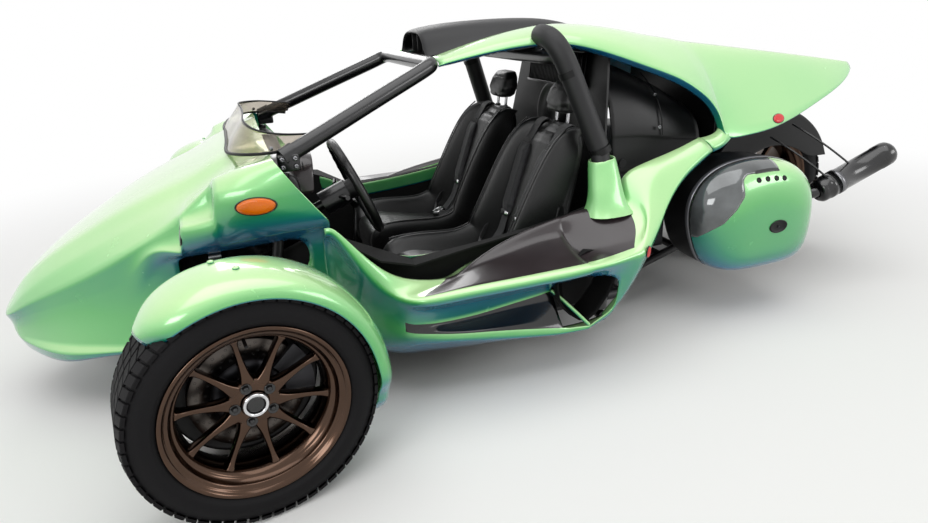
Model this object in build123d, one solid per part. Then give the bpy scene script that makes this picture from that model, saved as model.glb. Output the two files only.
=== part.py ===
from build123d import *
import os
from math import cos, hypot, pi, radians, sin

# A three wheeled sports car: two steered wheels in front, one driven wheel behind, two seats
# side by side under a roll cage. X points forward, Y to the driver's left, Z up from the floor.
# All sizes are in millimetres.

# Overall layout
WHEELBASE = 2286.0
FRONT_AXLE_X = 935.0
REAR_AXLE_X = FRONT_AXLE_X - WHEELBASE
FRONT_TRACK = 1750.0
STEER_AT_REST = 10.5

# Tyres and rims
FRONT_TYRE_R = 295.5
FRONT_TYRE_W = 205.0
FRONT_RIM_R = 206.0
FRONT_RIM_W = 190.0
REAR_TYRE_R = 332.0
REAR_TYRE_W = 295.0
REAR_RIM_R = 231.0
REAR_RIM_W = 272.0
RIM_WALL = 7.0
FLANGE = 9.0
SPOKES = 10
DISC_R = 142.0
DISC_T = 24.0
DISC_OFFSET = -34.0
HUB_R = 36.0
SPINDLE_R = 14.0
FRONT_HUB_FACE = 34.0
REAR_HUB_FACE = 60.0

# Mudguards
FENDER_GAP = 49.5
FENDER_OVERHANG = 11.5
FENDER_FROM = -20.0
FENDER_TO = 138.0
FENDER_ROLL = 44.0
STAY_D = 12.0
STAY_LEAN = 38.0
GUARD_GAP = 22.0
GUARD_WALL = 4.0

# Front suspension
SHOCK_X = 960.0
SHOCK_INSET = 130.0
SHOCK_TOP = (438.0, 512.0)
LOW_ARM_D = 26.0
HIGH_ARM_D = 20.0
SHOCK_BAR_D = 22.0
FRONT_SPRING_D = 58.0
FRONT_SHOCK_D = 26.0
REAR_SPRING_D = 78.0
REAR_SHOCK_D = 30.0
EYE_SWELL = 8.0

# Steering
KINGPIN_INSET = 105.0
UPRIGHT_LOW = 92.0
UPRIGHT_HIGH = 110.0
TIP_H = 18.0
STEERING_ARM = 110.0
ARM_T = 18.0
RACK_DROP = 33.5
RACK_R = 12.0
RACK_HALF = 352.0
ROD_D = 16.0
ROD_GAP = 4.0
WHEEL_D = 340.0
WHEEL_HUB = (508.0, 275.0, 622.0)
WHEEL_RAKE = 22.0
WHEEL_RIM_D = 30.0
WHEEL_TURNS = 6.0
SPOKE_W = 26.0
COLUMN_D = 32.0
COLUMN_L = 440.0
HOUSING_D = 78.0

# Body panels and cockpit
BODY_WALL = 5.0
LINER_WALL = 6.0
GLASS = 4.0
SEAM = 3.0
SEATED = 0.3
RUNNING = 0.08
LINER_FLOOR = 148.0
FOOTWELL_X = 1010.0
COCKPIT_HALF = 502.0
HOOP_D = 60.0
HOOP_X = -240.0
HOOP_TOP_Z = 985.0
FRONT_HOOP_D = 48.0
FRONT_BAR = (232.0, 306.0, 982.0)
FRAME_TUBE = 38.0
CROSS_TUBE = 34.0
RAIL_Z = 125.0
RAIL_Y = 440.0
REAR_CROSS_X = -410.0
BAY_TUBE = 32.0
NOSE_FRAME = (1150.0, 352.0, 200.0, 420.0)
COWL_FRAME = (800.0, 455.0, 200.0, 452.0)
NOSE_LOW_D = 30.0
NOSE_HIGH_D = 28.0
PIVOT_AHEAD = 533.3
PIVOT_Z = 300.0
PIVOT_D = 52.0
FORK_BAR_D = 40.0
FORK_CLEAR = 46.0
UPPER_BAR_Z = 560.0
ENGINE_Z = 182.0
ENGINE_TOP = 620.0
ENGINE_HALF = 215.0
SWELL = 2.0
SCREEN_LIFT = 1.5
SEAT_Y = 268.0
CUSHION_W = 390.0
BACK_W = 345.0
BOLSTER = 46.0

# Side cases
CASE_X = 480.0
CASE_L = 560.0
CASE_H = 410.0
CASE_Z = 395.0
CASE_INNER_Y = 330.0
CASE_SPLIT_Y = 520.0
CASE_OUTER_Y = 640.0
CASE_WALL = 5.0
HINGE_R = 6.0

# Exhaust
EXHAUST_D = 92.0
INLET_D = 44.0
OUTLET_DEPTH = 90.0

KINGPIN_Y = FRONT_TRACK / 2 - KINGPIN_INSET
SHOCK_Y = KINGPIN_Y - SHOCK_INSET
RACK_Z = FRONT_TYRE_R - RACK_DROP
FENDER_R = FRONT_TYRE_R + FENDER_GAP
FENDER_W = FRONT_TYRE_W + 2 * FENDER_OVERHANG
LOW_BALL_Z = FRONT_TYRE_R - UPRIGHT_LOW - TIP_H / 2 - SEATED
HIGH_BALL_Z = FRONT_TYRE_R + UPRIGHT_HIGH + TIP_H / 2 + SEATED
PIVOT_X = REAR_AXLE_X + PIVOT_AHEAD
FORK_BAR = (REAR_AXLE_X + REAR_TYRE_R + FORK_CLEAR, PIVOT_Z + 12)
ROOF_FRONT_X = FRONT_BAR[0] - (FRONT_HOOP_D + SWELL) / 2 - SEATED
BAY_LENGTH = HOOP_X - REAR_AXLE_X
POST_X = REAR_CROSS_X - CROSS_TUBE / 2 - SEATED - BAY_TUBE / 2
COVER_FRONT = (HOOP_X - POST_X + BAY_TUBE / 2 - 1 + SEATED) / BAY_LENGTH
CASE_CENTRE_X = REAR_AXLE_X + CASE_X


def bay(share):
    """A place along the car: -1 is the roof's front, 0 the main hoop and 1 the rear axle."""
    return HOOP_X - share * (ROOF_FRONT_X - HOOP_X if share < 0 else BAY_LENGTH)


def rod(start, end, diameter):
    """A round bar between two points."""
    a, b = Vector(*start), Vector(*end)
    return Solid.make_cylinder(diameter / 2, (b - a).length, Plane(origin=a, z_dir=b - a))


def ball(centre, diameter):
    """A sphere at a point, turned so that its poles lie off the bars that it joins."""
    return Pos(*centre) * Rot(31, 17, 0) * Sphere(diameter / 2)


def bent_tube(points, diameter):
    """A round tube through the points, with a ball at each inner corner."""
    shape = rod(points[0], points[1], diameter)
    for start, end in zip(points[1:-1], points[2:]):
        shape = shape + ball(start, diameter + SWELL) + rod(start, end, diameter)
    return shape


def block(x, y, z):
    """A box from three pairs of limits."""
    size = [abs(pair[1] - pair[0]) for pair in (x, y, z)]
    middle = [(pair[1] + pair[0]) / 2 for pair in (x, y, z)]
    return Pos(*middle) * Box(*size)


def mirrored(shape):
    """The same shape on the other side of the car."""
    return mirror(shape, about=Plane.XZ)


def steered(shape, side):
    """A piece of the left (1) or right (-1) front wheel, turned to the steering's rest angle."""
    kingpin = Axis((FRONT_AXLE_X, side * KINGPIN_Y, 0), (0, 0, 1))
    return shape.rotate(kingpin, STEER_AT_REST)


def inset(points, wall):
    """An open outline moved sideways by a wall thickness, to the right of its direction."""
    normals = []
    for (y0, z0), (y1, z1) in zip(points[:-1], points[1:]):
        length = hypot(y1 - y0, z1 - z0)
        normals.append(((z1 - z0) / length, -(y1 - y0) / length))
    result = []
    for index, (y, z) in enumerate(points):
        before = normals[max(index - 1, 0)]
        after = normals[min(index, len(normals) - 1)]
        ny, nz = before[0] + after[0], before[1] + after[1]
        scale = wall * 2 / max(ny * ny + nz * nz, 1.0)
        result.append((y + ny * scale, z + nz * scale))
    return result


def edge_y(outline):
    """The y that a neighbour keeps to beside the inner edge of a skin's outline."""
    return min(outline[0][0], inset(outline, BODY_WALL)[0][0]) - SEATED


def ruled(sections):
    """A solid through closed outlines of as many corners each: rows of (x, y, z)."""
    return Solid.make_loft([Wire.make_polygon(row, close=True) for row in sections], ruled=True)


def skin(rows, wall):
    """A panel of even wall through open outlines, each given as (x, [(y, z), ...])."""
    sections = []
    for x, outline in rows:
        ring = list(outline) + inset(outline, wall)[::-1]
        sections.append([(x, y, z) for y, z in ring])
    return ruled(sections)


def both_sides(half):
    """An outline of the whole car from its left half, which starts on the middle plane."""
    return [(-y, z) for y, z in half[:0:-1]] + list(half)


# The front wheels and what turns with them

def tyre(radius, width, rim_radius, bead_half):
    """A tyre about the Y axis, open towards the rim it sits on."""
    shoulder = radius - 22
    half = width / 2
    outline = [
        (bead_half, rim_radius), (bead_half, rim_radius + 17), (half, rim_radius + 34),
        (half - 2, shoulder - 14), (half - 14, shoulder + 10), (half - 34, radius),
    ]
    inner = [(half - 40, radius - 16), (half - 22, shoulder - 12), (half - 14, rim_radius + 34),
             (bead_half - 14, rim_radius)]
    ring = outline + [(-w, r) for w, r in outline[::-1]]
    ring += [(-w, r) for w, r in inner[::-1]] + inner
    profile = make_face(Polyline(*[(0, w, r) for w, r in ring], close=True))
    return revolve(profile, Axis.Y)


def rim(radius, width, spokes, hub_face):
    """A rim about the Y axis with its flanges, its barrel, spokes on the +Y side and a hub."""
    half = width / 2
    bed = radius - SEATED
    lip = radius + 14
    outline = [
        (half, lip), (half - FLANGE, lip), (half - FLANGE, bed), (-half + FLANGE, bed),
        (-half + FLANGE, lip),
        (-half, lip), (-half, bed - RIM_WALL), (half, bed - RIM_WALL),
    ]
    barrel = revolve(make_face(Polyline(*[(0, w, r) for w, r in outline], close=True)), Axis.Y)
    hub = Rot(-90, 0, 0) * Cylinder(HUB_R, 46)
    shape = barrel + Pos(0, hub_face - 23, 0) * hub
    spoke = ruled([
        [(-17, hub_face, HUB_R - 8), (17, hub_face, HUB_R - 8),
         (17, hub_face - 34, HUB_R - 8), (-17, hub_face - 34, HUB_R - 8)],
        [(-9, hub_face - 2, radius * 0.6), (9, hub_face - 2, radius * 0.6),
         (9, hub_face - 26, radius * 0.6), (-9, hub_face - 26, radius * 0.6)],
        [(-15, hub_face + 12, bed - 3), (15, hub_face + 12, bed - 3),
         (15, hub_face - 22, bed - 3), (-15, hub_face - 22, bed - 3)],
    ])
    for index in range(spokes):
        shape = shape + spoke.rotate(Axis.Y, index * 360 / spokes)
    return shape - Rot(-90, 0, 0) * Cylinder(SPINDLE_R, 4 * width)


def disc(radius, thickness, offset):
    """A brake disc with its bell, about the Y axis."""
    ring = Cylinder(radius, thickness) - Cylinder(radius * 0.62, thickness)
    bell = Cylinder(radius * 0.62, thickness * 0.4) - Cylinder(SPINDLE_R, thickness)
    return Pos(0, offset, 0) * (Rot(-90, 0, 0) * (ring + bell))


def front_wheel_place(side):
    """Puts a wheel made about the origin, outside to +Y, at the left (1) or right (-1)."""
    turn = Rot(0, 0, 0 if side > 0 else 180)
    return Pos(FRONT_AXLE_X, side * FRONT_TRACK / 2, FRONT_TYRE_R) * turn


def fender():
    """The mudguard over a front wheel: an arched band with rolled edges."""
    half = FENDER_W / 2
    rows = [(half, FENDER_R - FENDER_ROLL), (half - 6, FENDER_R - 16), (half - 34, FENDER_R),
            (-half + 34, FENDER_R), (-half + 6, FENDER_R - 16), (-half, FENDER_R - FENDER_ROLL)]
    ring = rows + [(w * (1 - BODY_WALL / half), r - BODY_WALL) for w, r in rows[::-1]]
    profile = make_face(Polyline(*[(r, w, 0) for w, r in ring], close=True))
    profile = profile.rotate(Axis.Y, FENDER_FROM - 180)
    return revolve(profile, Axis.Y, FENDER_TO - FENDER_FROM)


def knuckle():
    """The upright with its spindle, steering arm, caliper and mudguard stays, about the origin."""
    pin_y = -KINGPIN_INSET
    arm_top = RACK_Z - FRONT_TYRE_R - RACK_R - SEATED
    upright = block((-26, 26), (pin_y - 17, pin_y + 17), (-UPRIGHT_LOW, UPRIGHT_HIGH))
    shaft = Rot(-90, 0, 0) * Cylinder(SPINDLE_R - RUNNING, KINGPIN_INSET + 6)
    spindle = Pos(0, pin_y / 2 - 4, 0) * shaft
    arm = block((20, STEERING_ARM + 16), (pin_y - 12, pin_y + 12), (arm_top - ARM_T, arm_top))
    pad_r = DISC_R * 0.93
    grip = Cylinder(pad_r + 26, 60) - Cylinder(pad_r - 48, 80) - Cylinder(pad_r + 15, DISC_T + 8)
    half = radians(26)
    wedge = make_face(Polyline((0, 0), (300 * cos(half), 300 * sin(half)),
                               (300 * cos(half), -300 * sin(half)), close=True))
    sector = extrude(wedge, 80, both=True)
    pads = Cylinder(pad_r - 30, 60) - Cylinder(pad_r - 48, 80) - Cylinder(pad_r, DISC_T + 8)
    caliper = Pos(0, DISC_OFFSET, 0) * (Rot(-90, 0, 0) * ((grip + pads) & sector))
    caliper = caliper.rotate(Axis.Y, 195)
    link = block((-146, -20), (pin_y - 14, pin_y + 6), (20, 62))
    lug = block((-146, -112), (pin_y - 14, DISC_OFFSET - 26), (20, 62))
    shape = upright + spindle + arm + link + lug + caliper
    stay_y = -(FRONT_TYRE_W / 2 + 5 + STAY_D / 2)
    for lean in (-STAY_LEAN, STAY_LEAN):
        reach = FENDER_R - FENDER_ROLL - SEATED - STAY_D / 2
        top = (reach * sin(radians(lean)), stay_y, reach * cos(radians(lean)))
        shape = shape + rod((lean * 0.6, stay_y, 70), top, STAY_D)
    return shape


# The car's body: outlines from the middle of the top, outwards and down
# Columns: x, top z, ridge y z, crease y z, outer top y z, outer low y z, under y z, waist y z,
# lower edge y z
NOSE_ROWS = [
    (1690, 290, 20, 289, 48, 280, 58, 270, 66, 258, 68, 248, 70, 238, 78, 228),
    (1610, 372, 60, 366, 118, 322, 132, 300, 142, 280, 150, 262, 158, 248, 195, 222),
    (1500, 458, 110, 450, 190, 372, 205, 340, 215, 310, 225, 280, 235, 255, 275, 214),
    (1350, 562, 170, 552, 285, 448, 297, 405, 305, 365, 312, 320, 320, 275, 352, 214),
    (1210, 638, 215, 626, 370, 530, 378, 480, 380, 425, 378, 370, 372, 290, 392, 216),
    (1130, 668, 235, 657, 408, 574, 424, 554, 424, 536, 404, 505, 392, 400, 396, 190),
    (1020, 712, 250, 702, 446, 674, 520, 640, 522, 576, 452, 534, 434, 440, 432, 170),
    (930, 756, 262, 748, 480, 752, 560, 722, 568, 604, 470, 530, 452, 440, 450, 166),
    (800, 796, 275, 790, 505, 786, 606, 716, 620, 622, 490, 545, 472, 440, 470, 164),
    (640, 800, 275, 796, 505, 790, 602, 650, 606, 628, 532, 562, 508, 440, 504, 162),
]
# The cockpit's edge through the cowl, in the XZ plane
COWL_EDGE = [(845, 830), (768, 793), (606, 563), (600, 900)]
VENT_X = (690.0, 1062.0)
VENT_Z = (440.0, 520.0)
ARCH_X = (760.0, 1112.0)


def nose_outline(row):
    """A nose row's left half as points (y, z), from the top middle down to the lower edge."""
    values = row[2:]
    return [(0.0, row[1])] + [(values[i], values[i + 1]) for i in range(0, len(values), 2)]


def nose_body():
    """The hollow nose and cowl, with its cockpit edge and the side vents cut."""
    shell = skin([(row[0], both_sides(nose_outline(row))) for row in NOSE_ROWS], BODY_WALL)
    tip = both_sides(nose_outline(NOSE_ROWS[0]))
    cap = extrude(make_face(Polyline(*[(NOSE_ROWS[0][0], y, z) for y, z in tip], close=True)),
                  BODY_WALL, dir=(-1, 0, 0))
    shell = shell + cap
    edge = make_face(Polyline(*[(x, 0, z) for x, z in COWL_EDGE], close=True))
    shell = shell - extrude(edge, 900, dir=(0, 1, 0), both=True)
    for side in (1, -1):
        y = sorted((side * 380, side * 600))
        shell = shell - block(VENT_X, y, VENT_Z) - block(ARCH_X, y, (140, VENT_Z[0] + 1))
    return shell


def cowl_z(x, y):
    """The height of the nose's top at a place, read between the rows above."""
    ahead = [row for row in NOSE_ROWS if row[0] >= x][-1]
    behind = [row for row in NOSE_ROWS if row[0] < x][0]
    heights = []
    for row in (ahead, behind):
        line = nose_outline(row)
        for (y0, z0), (y1, z1) in zip(line[:2], line[1:3]):
            if y0 <= y <= y1:
                heights.append(z0 + (z1 - z0) * (y - y0) / (y1 - y0))
    share = (ahead[0] - x) / (ahead[0] - behind[0])
    return heights[0] + (heights[-1] - heights[0]) * share


# Columns: x, sill inner y z, lip inner y z, lip outer y z, lip under y z, channel y z,
# shelf y z, low lip top y z, low lip foot y z, belly y z
POD_ROWS = [
    (637, 592, 640, 601, 634, 602, 618, 566, 590, 532, 562, 512, 440, 506, 300, 503, 180, 480, 165),
    (520, 632, 488, 655, 474, 664, 456, 660, 430, 640, 380, 626, 320, 636, 262, 640, 205, 560, 160),
    (400, 560, 428, 722, 408, 742, 396, 738, 376, 708, 352, 668, 300, 688, 258, 690, 225, 600, 155),
    (200, 526, 442, 738, 434, 762, 424, 758, 402, 690, 380, 640, 300, 700, 218, 702, 198, 640, 150),
    (0, 522, 464, 738, 450, 764, 440, 760, 415, 652, 396, 604, 270, 704, 192, 708, 174, 640, 148),
    (-140, 522, 487, 734, 458, 760, 448, 756, 422, 640, 396, 596, 258, 698, 180, 702, 162, 640, 148),
    (-215, 522, 505, 716, 480, 744, 464, 744, 400, 738, 330, 733, 280, 722, 220, 700, 172, 640, 150),
]
# Columns: x, upper inner y z, upper outer y z, outer y z, lower edge y z
ARM_ROWS = [
    (0.00, 500, 556, 640, 528, 728, 470, 735, 300),
    (0.09, 480, 612, 600, 582, 690, 505, 700, 395),
    (0.21, 465, 630, 545, 616, 590, 570, 600, 518),
    (0.29, 458, 642, 510, 628, 545, 602, 550, 581),
    (0.36, 452, 656, 485, 649, 515, 636, 520, 618),
    (0.435, 446, 676, 467, 669, 490, 661, 500, 650),
]


def pairs(values):
    """Points (y, z) from a row's columns after the first."""
    return [(values[i], values[i + 1]) for i in range(0, len(values), 2)]


def hoop_route():
    """The centre line of the main hoop's left leg, from its foot to the top bar."""
    foot_z = RAIL_Z + CROSS_TUBE / 2 + SEATED
    return [(HOOP_X - 10, 556, foot_z), (HOOP_X - 10, 556, 190), (HOOP_X - 22, 546, 480),
            (HOOP_X - 42, 486, 672), (HOOP_X + 62, 436, 950),
            (HOOP_X + 78, 394, HOOP_TOP_Z + 12), (HOOP_X + 84, 320, HOOP_TOP_Z)]


def side_pod():
    """The left side body: its sill, side channel with the duct cut, rear arm and hoop cone."""
    pod = skin([(row[0], pairs(row[1:])) for row in POD_ROWS], BODY_WALL)
    arm = skin([(bay(row[0]), pairs(row[1:])) for row in ARM_ROWS], BODY_WALL * 3)
    tail_end = ruled([
        [(POD_ROWS[-1][0] + 2, y, z) for y, z in pairs(POD_ROWS[-1][1:])],
        [(bay(0.0) - 2, y, z) for y, z in [
            (522, 540), (640, 520), (728, 466), (734, 400), (728, 330), (722, 280),
            (712, 225), (692, 185), (640, 165)]],
    ])
    cone = ruled([
        [(HOOP_X + x, y, 490) for x, y in ((44, 508), (44, 590), (-92, 590), (-92, 508))],
        [(HOOP_X + x, y, 660) for x, y in ((4, 450), (4, 528), (-84, 528), (-84, 450))],
    ])
    duct = block((-130, -12), (560, 690), (286, 382))
    return pod + tail_end + arm + cone - duct - bent_tube(hoop_route()[:5], HOOP_D + 8)


def sill_panel():
    """The dark inlay that lies on the left sill."""
    sections = []
    for row in POD_ROWS[2:-1]:
        (y0, z0), (y1, z1) = pairs(row[1:])[:2]
        near, far = 0.06, 0.94
        line = [(y0 + (y1 - y0) * share, z0 + (z1 - z0) * share) for share in (near, far)]
        bottom = [(y, z + SEATED) for y, z in line]
        top = [(y, z + SEATED + 3) for y, z in line]
        sections.append([(row[0], y, z) for y, z in bottom + top[::-1]])
    return ruled(sections)


# Columns: share of the engine bay, upper inner y z, upper outer y z, middle y z, lower edge y z
TAIL_ROWS = [
    (-1.00, 215, 1000, 262, 998, 296, 992, 304, 978),
    (-0.48, 205, 1058, 262, 1054, 318, 1042, 332, 1018),
    (-0.05, 200, 1084, 262, 1078, 335, 1058, 352, 1026),
    (0.16, 202, 1062, 268, 1050, 362, 1000, 392, 938),
    (0.33, 205, 1026, 275, 1008, 384, 905, 412, 832),
    (0.435, 207, 1004, 275, 982, 390, 830, 440, 690),
    (0.56, 208, 980, 272, 956, 386, 815, 480, 668),
    (0.74, 208, 950, 266, 925, 366, 802, 450, 682),
    (0.88, 206, 926, 255, 902, 340, 800, 400, 712),
    (1.05, 204, 896, 240, 878, 300, 810, 334, 764),
    (1.28, 198, 860, 208, 855, 216, 848, 222, 838),
]


def tail_body():
    """Both roof rails and tail fins, joined by the tail's rear bar."""
    fin = skin([(bay(row[0]), pairs(row[1:])) for row in TAIL_ROWS], BODY_WALL)
    last = TAIL_ROWS[-1]
    bar = block((bay(last[0]), bay(last[0]) + 60), (-last[1] - 6, last[1] + 6), (846, 858))
    return fin + bar + mirrored(fin)


def tail_deck():
    """The dark deck between the tail fins."""
    rows = []
    for row in TAIL_ROWS[3:]:
        y, z = edge_y(pairs(row[1:])), row[2]
        x = bay(row[0]) + (60 + SEATED if row is TAIL_ROWS[-1] else 0)
        rows.append((x, [(-y, z), (0, z + 6), (y, z)]))
    return skin(rows, BODY_WALL)


def roof_scoop():
    """The black air scoop on the roof, with its open half round mouth to the front."""
    rises = (34, 28, 22, 26)
    rows = []
    for row, rise in zip(TAIL_ROWS[:4], rises):
        half, side = edge_y(pairs(row[1:])), row[2] - BODY_WALL
        arch = [(-half * cos(a * pi / 8), side + (rise + BODY_WALL) * sin(a * pi / 8))
                for a in range(9)]
        rows.append((bay(row[0]) + (SEATED if row is TAIL_ROWS[3] else 0), arch))
    return skin(rows, BODY_WALL)


# Glass, cockpit and cabin pieces
# Columns: base x, y, z (0 where it stands on the cowl), top y, top z
SCREEN_ROWS = [
    (640, 405, 776, 385, 826),
    (772, 452, 0, 412, 839),
    (800, 462, 0, 420, 842),
    (896, 255, 0, 236, 858),
]


def windscreen():
    """The low clear screen that wraps round the cowl."""
    left = []
    for x, y, z, top_y, top_z in SCREEN_ROWS:
        base_z = z if z else cowl_z(x, y) + SCREEN_LIFT
        left.append(((x, y, base_z), (x - 60, top_y, top_z)))
    right = [tuple((x, -y, z) for x, y, z in pair) for pair in left[::-1]]
    middle = Vector(700, 0, 0)
    sections = []
    for low, high in left + right:
        pull = Vector(middle.X - low[0], -low[1], 0).normalized() * GLASS
        inner = [(x + pull.X, y + pull.Y, z) for x, y, z in (high, low)]
        sections.append([low, high] + inner)
    shape = ruled(sections[:2])
    for pair in zip(sections[1:-1], sections[2:]):
        shape = shape + ruled(pair)
    return shape


def cockpit_liner():
    """The dark tub: floor, side walls and footwell with its front bulkhead."""
    # Columns: x, half width, height of the top edge, y of the edge's flange
    plan = [(FOOTWELL_X, 365, 420, 372), (900, 396, 430, 404), (660, 452, 540, 460)]
    for row in POD_ROWS[1:]:
        plan.append((row[0], COCKPIT_HALF, row[2] - BODY_WALL, edge_y(pairs(row[1:]))))
    plan.append((HOOP_X - 20, COCKPIT_HALF, 498, 500))
    rows = []
    for x, half, top, flange in plan:
        outline = [(0, LINER_FLOOR), (half - 6, LINER_FLOOR), (half, top), (flange, top)]
        rows.append((x, both_sides(outline)[::-1]))
    half = plan[0][1] - LINER_WALL
    bulkhead = block((FOOTWELL_X - LINER_WALL, FOOTWELL_X), (-half, half), (LINER_FLOOR + 2, 420))
    return skin(rows, LINER_WALL) + bulkhead


def firewall():
    """The panel behind the seats, leaning back."""
    foot_z = LINER_FLOOR + LINER_WALL + SEATED
    foot_y = COCKPIT_HALF - 2 * LINER_WALL - 4
    rows = []
    # Columns: x, half width, z
    for x, half, z in ((-236, foot_y, foot_z), (-345, 400, 640), (-392, 330, 985)):
        rows.append([(x, -half, z), (x, half, z), (x - 8, half, z), (x - 8, -half, z)])
    return ruled(rows)


def seat(side):
    """A bucket seat: cushion and back, with raised sides."""
    y0 = side * SEAT_Y
    floor = LINER_FLOOR + LINER_WALL + SEATED
    shell = [(390, floor), (400, 300), (360, 322), (60, 268), (-30, 300), (-190, 690), (-216, 745),
             (-268, 748), (-276, 700), (-165, 300), (-135, 220), (-90, floor)]
    low_side = [(390, floor), (402, 330), (340, 366), (120, 352), (40, 390), (-80, 420),
                (-168, 310), (-135, 220), (-90, floor)]
    high_side = [(-20, 330), (40, 390), (-96, 690), (-156, 750), (-250, 752), (-276, 700),
                 (-168, 310)]
    face = make_face(Polyline(*[(x, 0, z) for x, z in shell], close=True))
    shape = Pos(0, y0, 0) * extrude(face, BACK_W / 2 - BOLSTER + 1, dir=(0, 1, 0), both=True)
    for outline, width in ((low_side, CUSHION_W), (high_side, BACK_W)):
        face = make_face(Polyline(*[(x, 0, z) for x, z in outline], close=True))
        thick = width / 2 - BACK_W / 2 + BOLSTER
        wing = extrude(face, thick, dir=(0, 1, 0))
        shape = shape + Pos(0, y0 + width / 2 - thick, 0) * wing + Pos(0, y0 - width / 2, 0) * wing
    return shape


def headrest(side):
    """A small padded head cushion above a seat, on its two posts."""
    y0 = side * SEAT_Y
    pad = ruled([
        [(-214, y0 - 82, 782), (-214, y0 + 82, 782), (-292, y0 + 82, 782), (-292, y0 - 82, 782)],
        [(-212, y0 - 96, 830), (-212, y0 + 96, 830), (-306, y0 + 96, 830), (-306, y0 - 96, 830)],
        [(-246, y0 - 72, 902), (-246, y0 + 72, 902), (-306, y0 + 72, 902), (-306, y0 - 72, 902)],
    ])
    post = rod((-250, y0 - 40, 748 + SEATED), (-256, y0 - 40, 790), 12)
    other = rod((-250, y0 + 40, 748 + SEATED), (-256, y0 + 40, 790), 12)
    return pad + post + other


def harness_pad(side, offset):
    """One wide shoulder pad of the seat harness, lying on the seat's back."""
    y0 = side * SEAT_Y + offset
    start, end = (-30, 300), (-190, 690)
    length = hypot(end[0] - start[0], end[1] - start[1])
    nx, nz = (end[1] - start[1]) / length, -(end[0] - start[0]) / length
    points = []
    for share, lift in ((0.22, SEATED), (0.92, SEATED), (0.92, 22), (0.22, 22)):
        x = start[0] + (end[0] - start[0]) * share + nx * lift
        z = start[1] + (end[1] - start[1]) * share + nz * lift
        points.append((x, 0, z))
    face = make_face(Polyline(*points, close=True))
    return Pos(0, y0, 0) * extrude(face, 34, dir=(0, 1, 0), both=True)


def steering_wheel():
    """The three spoked steering wheel on its hub, turned with the front wheels."""
    ring = Torus(WHEEL_D / 2 - WHEEL_RIM_D / 2, WHEEL_RIM_D / 2)
    hub = Pos(0, 0, -12) * Cylinder(34, 36)
    shape = ring + hub
    reach = WHEEL_D / 2 - WHEEL_RIM_D
    for angle in (0, 90, 180):
        spoke = Pos((reach + 20) / 2, 0, -6) * Box(reach + 12, SPOKE_W, 8)
        shape = shape + spoke.rotate(Axis.Z, angle + WHEEL_TURNS * STEER_AT_REST)
    return Pos(*WHEEL_HUB) * (Rot(0, -(90 - WHEEL_RAKE), 0) * (Rot(0, 0, 90) * shape))


def steering_column():
    """The column from the wheel's hub forward to the footwell, with its stalk housing."""
    direction = Vector(cos(radians(WHEEL_RAKE)), 0, -sin(radians(WHEEL_RAKE)))
    hub = Vector(*WHEEL_HUB)
    start = hub + direction * (30 + SEATED)
    end = hub + direction * COLUMN_L
    housing = rod(tuple(start), tuple(hub + direction * 120), HOUSING_D)
    return housing + rod(tuple(start), tuple(end), COLUMN_D)


def dashboard():
    """The dark dash under the cowl with the instrument hood ahead of the driver."""
    rows = [
        [(830, y, z) for y, z in ((-449, 640), (-449, 745), (449, 745), (449, 640))],
        [(690, y, z) for y, z in ((-441, 600), (-441, 716), (441, 716), (441, 600))],
    ]
    base = ruled(rows)
    hood = ruled([
        [(790, y, z) for y, z in ((165, 700), (185, 764), (365, 764), (385, 700))],
        [(640, y, z) for y, z in ((150, 640), (175, 742), (375, 742), (400, 640))],
    ])
    bore = rod(WHEEL_HUB, (WHEEL_HUB[0] + 900 * cos(radians(WHEEL_RAKE)), WHEEL_HUB[1],
                           WHEEL_HUB[2] - 900 * sin(radians(WHEEL_RAKE))), COLUMN_D + 1)
    bearing = block((700, 728), (WHEEL_HUB[1] - 30, WHEEL_HUB[1] + 30), (500, 615))
    return base + hood + bearing - bore


def pedals():
    """Three pedals on one cross shaft, with the shaft's end brackets."""
    shaft_x, shaft_z = FOOTWELL_X - 110, 400
    shape = rod((shaft_x, 90, shaft_z), (shaft_x, 352, shaft_z), 18)
    for y in (135, 220, 305):
        shape = shape + rod((shaft_x, y, shaft_z), (shaft_x - 55, y, 262), 14)
        shape = shape + block((shaft_x - 62, shaft_x - 50), (y - 32, y + 32), (216, 276))
    for y in (98, 342):
        ends = (shaft_x - 12, FOOTWELL_X - LINER_WALL - SEATED)
        shape = shape + block(ends, (y - 8, y + 8), (shaft_z - 15, shaft_z + 15))
    return shape


def gear_lever():
    """The lever between the seats, in its boot on the tunnel."""
    tunnel = block((-180, 620), (-44, 44), (LINER_FLOOR + LINER_WALL + SEATED, 262))
    boot = Pos(505, 0, 262 + 25) * Cone(44, 16, 50)
    stick = rod((505, 0, 300), (470, 0, 480), 14)
    knob = ball((469, 0, 488), 44)
    return tunnel + boot + stick + knob


# Frame, cage and running gear

def lower_frame():
    """The two side rails and their cross members under the floor."""
    shape = None
    nose_x, bend_x = 1150.0, 640.0
    nose_y = 300.0
    for side in (1, -1):
        route = [(nose_x, side * nose_y, RAIL_Z), (bend_x, side * RAIL_Y, RAIL_Z),
                 (REAR_CROSS_X - 10, side * RAIL_Y, RAIL_Z)]
        rail = bent_tube(route, FRAME_TUBE)
        shape = rail if shape is None else shape + rail
    for x in (FRONT_AXLE_X + STEERING_ARM, bend_x, 200, -160, HOOP_X - 10, REAR_CROSS_X):
        half = RAIL_Y - max(x - bend_x, 0) * (RAIL_Y - nose_y) / (nose_x - bend_x)
        if x == HOOP_X - 10:
            half = hoop_route()[0][1] + 26
        shape = shape + rod((x, -half, RAIL_Z), (x, half, RAIL_Z), CROSS_TUBE)
    return shape


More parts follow.
